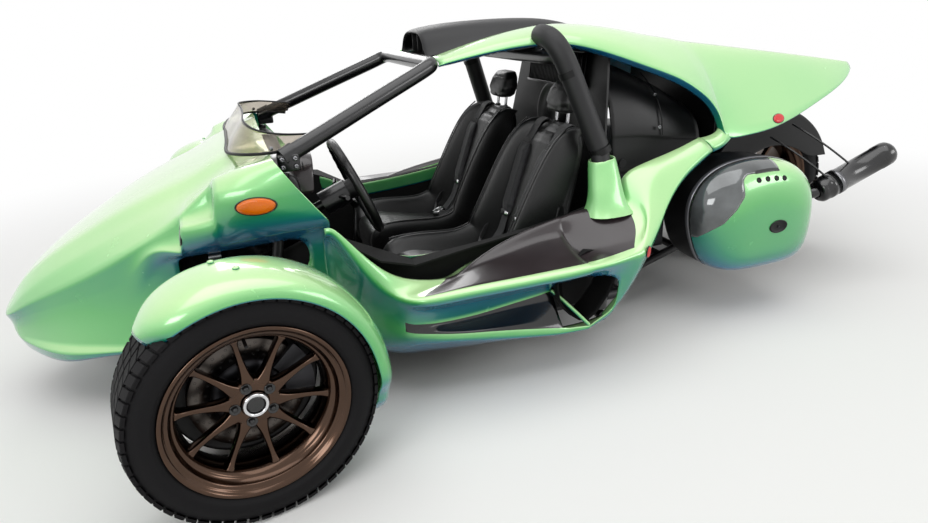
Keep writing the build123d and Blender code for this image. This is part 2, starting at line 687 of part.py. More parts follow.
def frame_side(x, upper):
    """A point (y, z) on the nose frame's lower or upper side tube."""
    share = (NOSE_FRAME[0] - x) / (NOSE_FRAME[0] - COWL_FRAME[0])
    level = 3 if upper else 2
    return (NOSE_FRAME[1] + (COWL_FRAME[1] - NOSE_FRAME[1]) * share,
            NOSE_FRAME[level] + (COWL_FRAME[level] - NOSE_FRAME[level]) * share)


def front_frame():
    """The tube frame in the nose that carries the wishbones, shocks, cowl and front hoop."""
    shape = None
    x0, y0, low0, high0 = NOSE_FRAME
    x1, y1, low1, high1 = COWL_FRAME
    brace_y, brace_z = frame_side(SHOCK_X, True)
    for side in (1, -1):
        routes = [
            (NOSE_LOW_D, [(x0, side * y0, low0), (x1, side * y1, low1), (x1, side * y1, high1),
                          (735, side * 465, 738.2)]),
            (NOSE_HIGH_D, [(x0, side * y0, low0 - 60), (x0, side * y0, high0),
                           (x1, side * y1, high1)]),
            (NOSE_HIGH_D - 3, [(SHOCK_X, side * (brace_y - 4), brace_z),
                               (SHOCK_X, side * 400, 552)]),
        ]
        elbow = ball((SHOCK_X, side * 400, 552), NOSE_HIGH_D)
        shape = elbow if shape is None else shape + elbow
        for diameter, route in routes:
            tubing = bent_tube(route, diameter)
            shape = tubing if shape is None else shape + tubing
    for x, half, z in ((x0, y0, low0), (x0, 384.8, high0), (SHOCK_X, 400, 552)):
        shape = shape + rod((x, -half, z), (x, half, z), NOSE_HIGH_D - 6)
    return shape


def front_hoop():
    """The two sloping front tubes of the cage, their top bar and their feet on the cowl."""
    foot, bend = (718.0, 465.0, 784.0), FRONT_BAR
    shape = rod((bend[0], -bend[1], bend[2]), (bend[0], bend[1], bend[2]), FRONT_HOOP_D)
    for side in (1, -1):
        low = (foot[0], side * foot[1], foot[2])
        high = (bend[0], side * bend[1], bend[2])
        clamp = block((690, 750), sorted((side * 450, side * 492)), (742, 790))
        shape = shape + rod(low, high, FRONT_HOOP_D) + ball(high, FRONT_HOOP_D + SWELL) + clamp
    return shape


def main_hoop():
    """The padded roll hoop behind the seats, with its feet on the lower frame."""
    left = bent_tube(hoop_route(), HOOP_D)
    x, y, z = hoop_route()[-1]
    end = ball((x, y, z), HOOP_D + SWELL)
    return left + end + rod((x, -y, z), (x, y, z), HOOP_D) + mirrored(left + end)


def rear_frame():
    """The engine bay's tubes with the swingarm's pivot and the cases' and tail's carriers."""
    shape = None
    side_y, post_y = 235, 348
    tail = (bay(1.05), 190, 770)
    for side in (1, -1):
        routes = [
            [(POST_X, side * post_y, 110), (POST_X, side * post_y, 600),
             (PIVOT_X, side * side_y, UPPER_BAR_Z), (tail[0], side * tail[1], tail[2])],
            [(POST_X, side * post_y, 140), (PIVOT_X, side * side_y, 170),
             (PIVOT_X, side * side_y, UPPER_BAR_Z)],
        ]
        for route in routes:
            tubing = bent_tube(route, BAY_TUBE)
            shape = tubing if shape is None else shape + tubing
        for z in (300, 500):
            end = side * (CASE_INNER_Y - SEATED)
            shape = shape + rod((PIVOT_X, side * side_y, z), (PIVOT_X, end, z), 24)
        bracket_x = bay(0.32)
        shape = shape + rod((bracket_x, side * 290, 588), (bracket_x, side * 357, 588), 16)
    # Columns: x, half width, z
    for x, half, z in ((PIVOT_X, side_y, 170), (PIVOT_X, side_y, UPPER_BAR_Z), (tail[0], 311, tail[2]),
                       (POST_X, post_y + 24, 600), (bay(0.29), 300, ENGINE_Z - 15 - SEATED),
                       (bay(0.42), 260, ENGINE_Z - 15 - SEATED)):
        shape = shape + rod((x, -half, z), (x, half, z), BAY_TUBE - 2)
    return shape


def swingarm():
    """The rear fork: two arms from the pivot tube to the axle's ends."""
    arm_y = REAR_TYRE_W / 2 + 34
    shape = rod((PIVOT_X, -arm_y, PIVOT_Z), (PIVOT_X, arm_y, PIVOT_Z), PIVOT_D)
    for side in (1, -1):
        leg = ruled([
            [(PIVOT_X - 10, side * (arm_y - 18), PIVOT_Z + dz) for dz in (-38, 38)]
            + [(PIVOT_X - 10, side * (arm_y + 18), PIVOT_Z + dz) for dz in (38, -38)],
            [(REAR_AXLE_X - 40, side * (arm_y - 14), REAR_TYRE_R + dz) for dz in (-28, 28)]
            + [(REAR_AXLE_X - 40, side * (arm_y + 14), REAR_TYRE_R + dz) for dz in (28, -28)],
        ])
        shape = shape + leg
    axle_y = arm_y + 24
    axle = rod((REAR_AXLE_X, -axle_y, REAR_TYRE_R), (REAR_AXLE_X, axle_y, REAR_TYRE_R),
               2 * (SPINDLE_R - RUNNING))
    x, z = FORK_BAR
    return shape + axle + rod((x, -arm_y, z), (x, arm_y, z), FORK_BAR_D)


def front_wishbones(side):
    """The upper and lower arms of one side, from the nose frame to the kingpin."""
    pin_y = side * (KINGPIN_Y - 24)
    shape = None
    for upper, z_out, pivots, width in (
        (False, LOW_BALL_Z, (806, 1070), LOW_ARM_D), (True, HIGH_BALL_Z, (830, 1030), HIGH_ARM_D),
    ):
        drop = (width + SWELL - TIP_H) / 2
        end = (FRONT_AXLE_X, pin_y, z_out + (drop if upper else -drop))
        eye = width + EYE_SWELL
        for x in pivots:
            y, z = frame_side(x, upper)
            tube_d = NOSE_HIGH_D if upper else NOSE_LOW_D
            y = side * (y + ((tube_d + SWELL + eye) / 2 + SEATED) * 1.045)
            arm = rod((x, y, z), end, width) + ball((x, y, z), eye)
            shape = arm if shape is None else shape + arm
        pin = (FRONT_AXLE_X, side * KINGPIN_Y, z_out)
        shape = shape + Pos(*pin) * Cylinder(17, TIP_H) + rod(end, pin, TIP_H - 3)
        shape = shape + ball(end, width + SWELL)
    bar = [(x, side * SHOCK_Y, LOW_BALL_Z) for x in (FRONT_AXLE_X - 42, SHOCK_X + 20)]
    return shape + rod(bar[0], bar[1], SHOCK_BAR_D)


def coil_shock(low, high, spring_d, rod_d):
    """A shock with its spring as one sleeve, between two eyes."""
    a, b = Vector(*low), Vector(*high)
    along = (b - a).normalized()
    length = (b - a).length
    body = rod(low, high, rod_d)
    sleeve = rod(tuple(a + along * length * 0.2), tuple(b - along * length * 0.16), spring_d)
    return body + sleeve + ball(low, rod_d + EYE_SWELL) + ball(high, rod_d + EYE_SWELL)


def front_shock(side):
    """One front shock, from the bar on the lower arms up to the nose frame."""
    low_z = LOW_BALL_Z + (SHOCK_BAR_D + FRONT_SHOCK_D + EYE_SWELL) / 2 + SEATED
    top_y, top_z = SHOCK_TOP
    low, high = (SHOCK_X, side * SHOCK_Y, low_z), (SHOCK_X, side * top_y, top_z)
    return coil_shock(low, high, FRONT_SPRING_D, FRONT_SHOCK_D)


def rear_shock():
    """The rear shock, from the fork's cross bar up to the upper bar of the engine bay."""
    eye = (REAR_SHOCK_D + EYE_SWELL) / 2 + SEATED
    low = (FORK_BAR[0], 0, FORK_BAR[1] + FORK_BAR_D / 2 + eye)
    high = (PIVOT_X, 0, UPPER_BAR_Z - (BAY_TUBE - 2) / 2 - eye)
    return coil_shock(low, high, REAR_SPRING_D, REAR_SHOCK_D)


def engine_cover():
    """The dark cover over the engine, in the bay between firewall and tail."""
    # Columns: share of the bay, top z, shoulder y z, side y z, foot y z
    rows = [
        (COVER_FRONT, 952, 210, 940, 332, 852, 362, 690, 372, 560),
        (0.36, 880, 214, 868, 338, 785, 362, 660, 366, 560),
        (0.50, 790, 214, 780, 330, 730, 352, 660, 352, 585),
    ]
    outlines = []
    for row in rows:
        outlines.append((bay(row[0]), both_sides([(0, row[1])] + pairs(row[2:]))))
    return skin(outlines, BODY_WALL)


def case_outline(y, shrink):
    """One closed outline of a side case at distance y, rounded like a shell."""
    half_l, half_h = CASE_L / 2 - shrink, CASE_H / 2 - shrink
    # Columns: share of the half length, share of the half height
    corners = [(-0.62, -0.97), (0.05, -1.0), (0.62, -0.9), (0.95, -0.45), (1.0, 0.1), (0.86, 0.62),
               (0.5, 0.93), (0.0, 1.0), (-0.5, 0.93), (-0.88, 0.6), (-1.0, 0.05), (-0.9, -0.55)]
    return [(CASE_CENTRE_X + a * half_l, y, CASE_Z + b * half_h) for a, b in corners]


def case_shell():
    """The fixed inner half of a side case, a hollow tray."""
    outer = ruled([case_outline(CASE_INNER_Y, 46), case_outline(CASE_INNER_Y + 40, 8),
                   case_outline(CASE_SPLIT_Y - SEAM / 2, 0)])
    inner = ruled([case_outline(CASE_INNER_Y + CASE_WALL, 50), case_outline(CASE_INNER_Y + 44, 14),
                   case_outline(CASE_SPLIT_Y + 2, CASE_WALL)])
    x, z = hinge_place()
    lug = block((x - 30, x + 30), (CASE_SPLIT_Y - HINGE_R, CASE_SPLIT_Y - 2), (z, z + 14))
    barrel = rod((x - 30, CASE_SPLIT_Y, z), (x + 30, CASE_SPLIT_Y, z), 2 * HINGE_R)
    pin = rod((x - 62, CASE_SPLIT_Y, z), (x + 62, CASE_SPLIT_Y, z), HINGE_R)
    return outer - inner + lug + barrel + pin


def hinge_place():
    """The x and z of the case lid's hinge, under the case's flat lower edge."""
    return CASE_CENTRE_X - 80, CASE_Z - CASE_H / 2 - HINGE_R


def case_lid():
    """The outer half of a side case, which opens like a lid about its lower edge."""
    outer = ruled([case_outline(CASE_SPLIT_Y + SEAM / 2, 0), case_outline(CASE_OUTER_Y - 62, 16),
                   case_outline(CASE_OUTER_Y - 20, 66), case_outline(CASE_OUTER_Y, 125)])
    inner = ruled([case_outline(CASE_SPLIT_Y - 2, CASE_WALL),
                   case_outline(CASE_OUTER_Y - 64, 16 + CASE_WALL),
                   case_outline(CASE_OUTER_Y - 24, 70), case_outline(CASE_OUTER_Y - CASE_WALL, 128)])
    shape = outer - inner
    x, z = hinge_place()
    for near, far in ((x + 30 + SEATED, x + 60), (x - 60, x - 30 - SEATED)):
        lug = block((near, far), (CASE_SPLIT_Y + 2, CASE_SPLIT_Y + HINGE_R), (z, z + 14))
        shape = shape + lug + rod((near, CASE_SPLIT_Y, z), (far, CASE_SPLIT_Y, z), 2 * HINGE_R)
    return shape - rod((x - 70, CASE_SPLIT_Y, z), (x + 70, CASE_SPLIT_Y, z), HINGE_R + 2 * RUNNING)


def exhaust():
    """The left silencer with its inlet pipe, and the bracket that holds it."""
    start = (REAR_AXLE_X + 30, 392, 392)
    end = (REAR_AXLE_X - 325, 392, 512)
    along = (Vector(*end) - Vector(*start)).normalized()
    can = rod(start, end, EXHAUST_D)
    bore = rod(tuple(Vector(*end) - along * OUTLET_DEPTH), tuple(Vector(*end) + along * 10),
               EXHAUST_D * 0.6)
    inlet = bent_tube([(bay(0.42), ENGINE_HALF + SEATED, 400), (bay(0.42), 290, 400),
                       (REAR_AXLE_X + 115, 292, 385), start], INLET_D)
    strap = rod((REAR_AXLE_X - 20, 366, 425), (bay(0.98), 214, 716), 12)
    return can - bore + inlet + strap


def turn_signal(side):
    """The oval side lamp on the cowl's shoulder."""
    face = Plane(origin=(828, side * 601.6, 686), x_dir=(-0.94, side * 0.333, 0),
                 z_dir=(0.33, side * 0.94, 0.11))
    return extrude(face * Ellipse(50, 22), 10, dir=face.z_dir)


def tail_lights():
    """The lamp bar between the tail fins' ends."""
    x = bay(TAIL_ROWS[-1][0])
    return block((x + 4, x + 40), (-188, 188), (806, 845.5))


def rear_mudguard():
    """The arched guard close over the rear tyre, on its two stays."""
    half = REAR_TYRE_W / 2 + 12
    radius = REAR_TYRE_R + GUARD_GAP
    outer = radius + GUARD_WALL
    ring = [(radius, half), (outer, half), (outer, -half), (radius, -half)]
    profile = make_face(Polyline(*[(r, w, 0) for r, w in ring], close=True)).rotate(Axis.Y, -160)
    guard = Pos(REAR_AXLE_X, 0, REAR_TYRE_R) * revolve(profile, Axis.Y, 110)
    for side in (1, -1):
        foot = (REAR_AXLE_X, side * (half + 20), REAR_TYRE_R + 27.1)
        head = (REAR_AXLE_X, side * (half + 4), REAR_TYRE_R + radius + 2)
        guard = guard + rod(foot, head, 14)
    return guard


def steering_rack():
    """The rack's bar, shifted to where the turned wheels hold it."""
    shift = STEERING_ARM * sin(radians(STEER_AT_REST))
    x = FRONT_AXLE_X + STEERING_ARM
    return rod((x, shift - RACK_HALF, RACK_Z), (x, shift + RACK_HALF, RACK_Z), 2 * RACK_R)


def rack_housing():
    """The tube that the rack slides in, on its two feet on the frame's cross member."""
    x = FRONT_AXLE_X + STEERING_ARM
    tube = rod((x, -230, RACK_Z), (x, 230, RACK_Z), 2 * RACK_R + 24)
    bore = rod((x, -240, RACK_Z), (x, 240, RACK_Z), 2 * (RACK_R + RUNNING))
    feet_z = RAIL_Z + CROSS_TUBE / 2 + SEATED
    feet = block((x - 20, x + 20), (-200, -160), (feet_z, RACK_Z - 16))
    return tube + feet + mirrored(feet) - bore


def tie_rod(side):
    """The rod from the rack's end out to one steering arm's ball."""
    angle = radians(STEER_AT_REST)
    x = FRONT_AXLE_X + STEERING_ARM * cos(angle)
    shift = STEERING_ARM * sin(angle)
    y = side * KINGPIN_Y + shift
    inner = side * (RACK_HALF + ROD_GAP) + shift
    stud = Pos(x, y, RACK_Z) * Cylinder(9, 24)
    return rod((x, inner, RACK_Z), (x, y, RACK_Z), ROD_D) + stud


PARTS = {}


def add(name, shape):
    """Keeps a finished piece under its node's name."""
    PARTS[name] = shape


def steered_corner(side, name):
    """Adds the knuckle, mudguard, tyre, rim and disc of one front wheel."""
    place = front_wheel_place(side)
    wheel_tyre = tyre(FRONT_TYRE_R, FRONT_TYRE_W, FRONT_RIM_R, FRONT_RIM_W / 2 - FLANGE - SEATED)
    wheel_rim = rim(FRONT_RIM_R, FRONT_RIM_W, SPOKES, FRONT_HUB_FACE)
    upright = knuckle()
    if side < 0:
        upright = mirror(upright, about=Plane.XZ)
        upright_place = Pos(FRONT_AXLE_X, -FRONT_TRACK / 2, FRONT_TYRE_R)
    else:
        upright_place = place
    add(f"front_tyre_{name}", steered(place * wheel_tyre, side))
    add(f"front_rim_{name}", steered(place * wheel_rim, side))
    add(f"front_disc_{name}", steered(place * disc(DISC_R, DISC_T, DISC_OFFSET), side))
    add(f"knuckle_{name}", steered(upright_place * upright, side))
    add(f"front_fender_{name}", steered(upright_place * fender(), side))


def main():
    """Builds every piece and writes it to its own file."""
    os.makedirs("parts", exist_ok=True)
    for side, name in ((1, "left"), (-1, "right")):
        steered_corner(side, name)
    add("nose_body", nose_body())
    pod = side_pod()
    add("side_pod_left", pod)
    add("side_pod_right", mirrored(pod))
    add("tail_body", tail_body())
    add("tail_deck", tail_deck())
    add("roof_scoop", roof_scoop())
    add("windscreen", windscreen())
    add("cockpit_liner", cockpit_liner())
    add("firewall", firewall())
    add("seat_left", seat(1))
    add("seat_right", seat(-1))
    add("steering_wheel", steering_wheel())
    add("steering_column", steering_column())
    add("dashboard", dashboard())
    add("pedals", pedals())
    add("gear_lever", gear_lever())
    add("lower_frame", lower_frame())
    add("front_frame", front_frame())
    add("front_hoop", front_hoop())
    add("main_hoop", main_hoop())
    add("rear_frame", rear_frame())
    add("swingarm", swingarm())
    panel = sill_panel()
    add("sill_panels", panel + mirrored(panel))
    add("headrests", headrest(1) + headrest(-1))
    pads = None
    for side in (1, -1):
        for offset in (-88, 88):
            pad = harness_pad(side, offset)
            pads = pad if pads is None else pads + pad
    add("harness_pads", pads)
    engine = block((bay(0.24), bay(0.47)), (-ENGINE_HALF, ENGINE_HALF), (ENGINE_Z, ENGINE_TOP))
    add("engine_block", engine)
    add("engine_cover", engine_cover())
    add("front_wishbones", front_wishbones(1) + front_wishbones(-1))
    add("front_shocks", front_shock(1) + front_shock(-1))
    add("rear_shock", rear_shock())
    pipe = exhaust()
    add("exhausts", pipe + mirrored(pipe))
    shell = case_shell()
    add("case_shells", shell + mirrored(shell))
    lid = case_lid()
    add("case_lid_left", lid)
    add("case_lid_right", mirrored(lid))
    add("turn_signals", turn_signal(1) + turn_signal(-1))
    add("tail_lights", tail_lights())
    add("rear_mudguard", rear_mudguard())
    rear_place = Pos(REAR_AXLE_X, 0, REAR_TYRE_R)
    wide_tyre = tyre(REAR_TYRE_R, REAR_TYRE_W, REAR_RIM_R, REAR_RIM_W / 2 - FLANGE - SEATED)
    add("rear_tyre", rear_place * wide_tyre)
    add("rear_rim", rear_place * rim(REAR_RIM_R, REAR_RIM_W, SPOKES, REAR_HUB_FACE))
    add("steering_rack", steering_rack())
    add("rack_housing", rack_housing())
    add("tie_rod_left", tie_rod(1))
    add("tie_rod_right", tie_rod(-1))
    for name, shape in PARTS.items():
        export_step(shape, f"parts/{name}.step")
        box = shape.bounding_box()
        print(name, len(shape.solids()), round(shape.volume / 1e6, 2),
              [round(v) for v in (*box.min, *box.max)])


if __name__ == "__main__":
    main()
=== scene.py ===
"""The looks of a three wheeled open sports car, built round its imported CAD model."""

import logging
import math
from dataclasses import dataclass
from enum import IntEnum
from typing import Callable, Iterable, Sequence

import bmesh
import bpy
from mathutils import Matrix, Vector


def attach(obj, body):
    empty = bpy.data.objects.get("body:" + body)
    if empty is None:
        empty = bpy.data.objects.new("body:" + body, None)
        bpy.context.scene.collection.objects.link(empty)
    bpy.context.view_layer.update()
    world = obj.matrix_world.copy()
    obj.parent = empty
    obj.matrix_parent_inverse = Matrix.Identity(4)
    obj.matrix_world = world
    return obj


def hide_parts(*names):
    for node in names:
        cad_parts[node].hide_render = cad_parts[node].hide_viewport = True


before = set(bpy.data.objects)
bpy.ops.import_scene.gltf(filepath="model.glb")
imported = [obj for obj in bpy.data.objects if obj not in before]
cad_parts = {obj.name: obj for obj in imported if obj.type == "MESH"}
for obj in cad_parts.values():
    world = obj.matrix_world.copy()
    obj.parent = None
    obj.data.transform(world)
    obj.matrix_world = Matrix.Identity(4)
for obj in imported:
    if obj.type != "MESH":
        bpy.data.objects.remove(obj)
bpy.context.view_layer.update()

LOG = logging.getLogger("car")
MM = 0.001
Point = Sequence[float]
Obj = bpy.types.Object
Tree = bpy.types.NodeTree
Node = bpy.types.Node
Socket = bpy.types.NodeSocket
Material = bpy.types.Material
Mesh = bmesh.types.BMesh


class Side(IntEnum):
    """The car's two sides, with the sign of y on each."""

    LEFT = 1
    RIGHT = -1

    @property
    def word(self) -> str:
        """The side's name as the frame's bodies and nodes spell it."""
        return self.name.lower()


# Shader tools


def linear(code: str, alpha: float = 1.0) -> tuple[float, float, float, float]:
    """Turns an sRGB hex colour into linear values.

    Args:
        code: Six hex digits, as in "a1b2c3".
        alpha: The fourth value.

    Returns:
        Linear red, green, blue and the alpha.
    """
    values = [int(code[i:i + 2], 16) / 255 for i in (0, 2, 4)]
    line = [v / 12.92 if v <= 0.04045 else ((v + 0.055) / 1.055) ** 2.4 for v in values]
    return (line[0], line[1], line[2], alpha)


def feed(tree: Tree, node: Node, links: dict) -> None:
    """Feeds a node's inputs.

    Args:
        tree: The node tree.
        node: The node.
        links: Input name or number to a node, whose first output is taken, an output or a plain value.
    """
    for key, value in links.items():
        source = value.outputs[0] if isinstance(value, Node) else value
        if isinstance(source, Socket):
            tree.links.new(source, node.inputs[key])
        else:
            node.inputs[key].default_value = source


def add_node(tree: Tree, kind: str, links: dict | None = None, **settings: object) -> Node:
    """Adds one node, with its settings and what feeds its inputs.

    Args:
        tree: The node tree.
        kind: The node's type name.
        links: What feeds its inputs, as in feed.
        settings: Attributes of the node.

    Returns:
        The node.
    """
    node = tree.nodes.new(kind)
    for key, value in settings.items():
        setattr(node, key, value)
    feed(tree, node, links or {})
    return node


def ramp(tree: Tree, factor: Node, stops: Sequence[tuple[float, tuple]]) -> Node:
    """Adds a colour ramp.

    Args:
        tree: The node tree.
        factor: What chooses the place on the ramp.
        stops: Place and linear colour of each stop, in order.

    Returns:
        The node.
    """
    node = add_node(tree, "ShaderNodeValToRGB", {"Fac": factor})
    elements = node.color_ramp.elements
    while len(elements) < len(stops):
        elements.new(0.5)
    for element, (place, colour) in zip(elements, stops):
        element.position = place
        element.color = colour
    return node


@dataclass(frozen=True)
class Finish:
    """A surface with a base colour, fine colour variation, and grain in its gloss and relief."""

    name: str
    colour: str
    roughness: float = 0.5
    metallic: float = 0.0
    coat: float = 0.0
    variation: float = 0.12
    grain_mm: float = 3.0
    relief: float = 0.0
    spread: float = 0.08
    sheen: float = 0.0
    specular: float = 0.5
    coat_roughness: float = 0.06
    bump_mm: float = 0.8

    def relief_height(self, tree: Tree, place: Socket) -> Node:
        """The height that the relief follows, from 0 to 1."""
        return add_node(tree, "ShaderNodeTexNoise", {"Vector": place, "Scale": self.scale(), "Detail": 3.0})

    def scale(self, share: float = 1.0) -> float:
        """A pattern's scale from the grain's size, in millimetres."""
        return share / (self.grain_mm * MM)

    def base(self, tree: Tree, place: Socket) -> Node:
        """The base colour: the finish's own, a little lighter and darker in soft patches.

        Args:
            tree: The material's tree.
            place: Object coordinates, in metres in the car's frame.

        Returns:
            The node that gives the colour.
        """
        cloud = add_node(tree, "ShaderNodeTexNoise", {"Vector": place, "Scale": 9.0, "Detail": 4.0})
        colour = linear(self.colour)[:3]
        low, high = 1 - self.variation, 1 + self.variation
        stops = [(0.3, (*(v * low for v in colour), 1)), (0.7, (*(v * high for v in colour), 1))]
        return ramp(tree, cloud, stops)

    def build(self) -> Material:
        """Makes the material, or gives back the one already made.

        Returns:
            The material.
        """
        found = bpy.data.materials.get(self.name)
        if found:
            return found
        material = bpy.data.materials.new(self.name)
        material.use_nodes = True
        tree = material.node_tree
        shader = tree.nodes["Principled BSDF"]
        place = add_node(tree, "ShaderNodeTexCoord").outputs["Object"]
        height = self.relief_height(tree, place)
        low, high = max(self.roughness - self.spread, 0.02), min(self.roughness + self.spread, 1.0)
        feed(tree, shader, {"Base Color": self.base(tree, place), "Metallic": self.metallic,
            "Coat Weight": self.coat, "Coat Roughness": self.coat_roughness, "Sheen Weight": self.sheen,
            "Specular IOR Level": self.specular, "Roughness": add_node(tree, "ShaderNodeMapRange",
            {"Value": height, "To Min": low, "To Max": high})})
        if self.relief > 0:
            links = {"Height": height, "Strength": self.relief, "Distance": self.bump_mm * MM}
            feed(tree, shader, {"Normal": add_node(tree, "ShaderNodeBump", links)})
        self.adjust(tree, shader)
        return material

    def adjust(self, tree: Tree, shader: Node) -> None:
        """Sets what only a special kind of finish has."""


@dataclass(frozen=True)
class PearlPaint(Finish):
    """Pearl lacquer: the side that faces up is pale, the flank green and the underside blue-green; partly the
    pearl's shift, partly painted light on top and painted shade below.
    """

    # Stops from the painted light on top, through the flank, to the painted shade underneath
    up: str = "c0e8a6"
    slope: str = "98d88e"
    flank: str = "5cb464"
    shade: str = "1f8a68"
    low: str = "1b7683"
    under: str = "1a6390"

    def base(self, tree: Tree, place: Socket) -> Node:
        """The colour by how much the surface faces up, with a fine flake: pale tops are painted light, dark
        blue-green undersides painted shade.

        Args:
            tree: The material's tree.
            place: Object coordinates.

        Returns:
            The node that gives the colour.
        """
        normal = add_node(tree, "ShaderNodeNewGeometry").outputs["Normal"]
        up = add_node(tree, "ShaderNodeSeparateXYZ", {"Vector": normal}).outputs["Z"]
        cloud = add_node(tree, "ShaderNodeTexNoise", {"Vector": place, "Scale": 2.2, "Detail": 2.0})
        lean = add_node(tree, "ShaderNodeMath", {0: cloud, 1: 0.16, 2: -0.08}, operation="MULTIPLY_ADD")
        facing = add_node(tree, "ShaderNodeMath", {0: up, 1: lean}, operation="ADD")
        share = add_node(tree, "ShaderNodeMapRange", {"Value": facing, "From Min": -1.0, "From Max": 1.0})
        # Painted light and shade: faces turned up take the pale stops, faces turned down the dark blue-green
        # ones
        colours = (self.under, self.low, self.shade, self.flank, self.slope, self.up)
        places = (0.08, 0.26, 0.40, 0.53, 0.76, 0.95)
        shade = ramp(tree, share, [(at, linear(code)) for at, code in zip(places, colours)])
        flake = add_node(tree, "ShaderNodeTexVoronoi", {"Vector": place, "Scale": 900.0})
        tint = add_node(tree, "ShaderNodeMapRange", {"Value": flake, "To Min": 0.94, "To Max": 1.06})
        return add_node(tree, "ShaderNodeVectorMath", {0: shade, 1: tint}, operation="MULTIPLY")


@dataclass(frozen=True)
class Leather(Finish):
    """Grained hide: pebbles about 3 mm across with dull valleys between them."""

    def relief_height(self, tree: Tree, place: Socket) -> Node:
        """The pebbles of the grain, from a cell pattern."""
        return add_node(tree, "ShaderNodeTexVoronoi", {"Vector": place, "Scale": self.scale()})


@dataclass(frozen=True)
class Woven(Finish):
    """Cloth or webbing: crossing threads at a real spacing."""

    axes: tuple[str, str] = ("X", "Z")

    def relief_height(self, tree: Tree, place: Socket) -> Node:
        """Two crossing sets of ribs.

        Args:
            tree: The material's tree.
            place: Object coordinates.

        Returns:
            The node that gives the height.
        """
        links = {"Vector": place, "Scale": self.scale(0.3)}
        warp, weft = (add_node(tree, "ShaderNodeTexWave", links, bands_direction=axis).outputs["Fac"]
                      for axis in self.axes)
        return add_node(tree, "ShaderNodeMath", {0: warp, 1: weft}, operation="MULTIPLY")


@dataclass(frozen=True)
class Clear(Finish):
    """Clear or tinted plastic that light passes."""

    transmission: float = 1.0
    ior: float = 1.49

    def adjust(self, tree: Tree, shader: Node) -> None:
        """Lets light through."""
        feed(tree, shader, {"Transmission Weight": self.transmission, "IOR": self.ior})


@dataclass(frozen=True)
class Lens(Clear):
    """A moulded lamp lens: coloured plastic with fine vertical prisms behind a smooth face."""

    def relief_height(self, tree: Tree, place: Socket) -> Socket:
        """The prisms, about 4 mm apart."""
        links = {"Vector": place, "Scale": 0.3 / (4 * MM)}
        return add_node(tree, "ShaderNodeTexWave", links, bands_direction="X").outputs["Fac"]


# What each finish is, and what that gives the eye
PAINT = PearlPaint("pearl_lacquer", "4fae62", roughness=0.26, coat=1.0, metallic=0.15, spread=0.03,
                   grain_mm=60.0)  # deep clear coat over mica, glossy; its colour by facing is partly the pearl's shift, partly painted light and shade
GLOSS_BLACK = Finish("gloss_black_abs", "060607", 0.12, coat=0.4, spread=0.03)  # moulded, mirrors
# Brown-grey, partly the inlay's own smoked tint, partly a painted sheen lightened to match the reflection on
# it
DARK_INLAY = Finish("smoked_inlay", "2b2426", 0.30, coat=0.25, variation=0.2, spread=0.05)  # clear coated
SATIN_BLACK = Finish("satin_black_abs", "0b0b0c", 0.42, relief=0.15, grain_mm=1.2,
                     specular=0.35)  # fine moulded texture, dull highlights
MATT_SHELL = Finish("matt_moulded_shell", "171719", 0.5, relief=0.2, grain_mm=1.5, spread=0.12,
                    specular=0.4)  # rougher mould texture
LINER = Finish("spray_liner", "060606", 0.78, relief=0.5, grain_mm=4.0, specular=0.25)  # rough tub
TUBE_PAINT = Finish("powder_coat_black", "09090c", 0.30, coat=0.3, relief=0.12, grain_mm=1.0)  # orange peel
FRAME_PAINT = Finish("chassis_enamel", "0c0c0e", 0.45, relief=0.1, grain_mm=2.0)  # brushed on enamel
FOAM_SLEEVE = Finish("foam_sleeve", "0a0a0d", 0.55, relief=0.35, grain_mm=1.6)  # vinyl skin over foam
HIDE = Leather("black_hide", "0b0b0c", 0.38, relief=0.5, grain_mm=3.2, spread=0.14, sheen=0.05)
HIDE_SMOOTH = Leather("smooth_hide", "0a0a0b", 0.34, relief=0.25, grain_mm=2.4, spread=0.1)
WEBBING = Woven("polyester_webbing", "232325", 0.7, relief=0.8, grain_mm=2.0, sheen=0.2)
PAD_CLOTH = Woven("nylon_pad_cloth", "0b0b10", 0.66, relief=0.6, grain_mm=1.8, sheen=0.2)
RUBBER = Finish("tyre_rubber", "060507", 0.66, relief=0.35, grain_mm=2.2, spread=0.1, specular=0.2)
RUBBER_TRIM = Finish("rubber_gasket", "050506", 0.5, relief=0.1, specular=0.3)  # extruded, dull
BRONZE = Finish("bronze_lacquer_alloy", "4b382c", 0.18, metallic=1.0, coat=0.3, grain_mm=1.0,
                spread=0.05)  # cast alloy under bronze lacquer
STEEL = Finish("turned_steel", "7d7d80", 0.28, metallic=1.0, grain_mm=2.0, spread=0.1)
DARK_STEEL = Finish("phosphated_steel", "2b2b2e", 0.4, metallic=0.8, grain_mm=2.0)  # grey crystals
DISC_STEEL = Finish("ground_disc_iron", "55504c", 0.34, metallic=1.0, grain_mm=1.5, spread=0.1)
CHROME = Finish("bright_plate", "d6d6d8", 0.09, metallic=1.0, spread=0.03)
CAST = Finish("cast_alloy", "3f3f42", 0.55, metallic=0.7, relief=0.4, grain_mm=2.5)
SCREEN = Clear("polycarbonate_screen", "c4bcb0", 0.05, spread=0.02, transmission=0.96, ior=1.2)
AMBER = Lens("amber_lens", "ff7a08", 0.14, relief=0.3, transmission=0.25)
RED_LENS = Lens("red_lens", "c11218", 0.14, relief=0.3, transmission=0.25)
PALE_LENS = Lens("clear_lamp_lens", "c9cdd0", 0.08, relief=0.2, transmission=0.5)
SMOKED = Finish("smoked_visor", "56595a", 0.10, metallic=0.3, coat=0.9, variation=0.5)  # tinted screen
THREAD = Finish("grey_thread", "5a5a5c", 0.7)  # waxed sewing thread, stands out from the hide
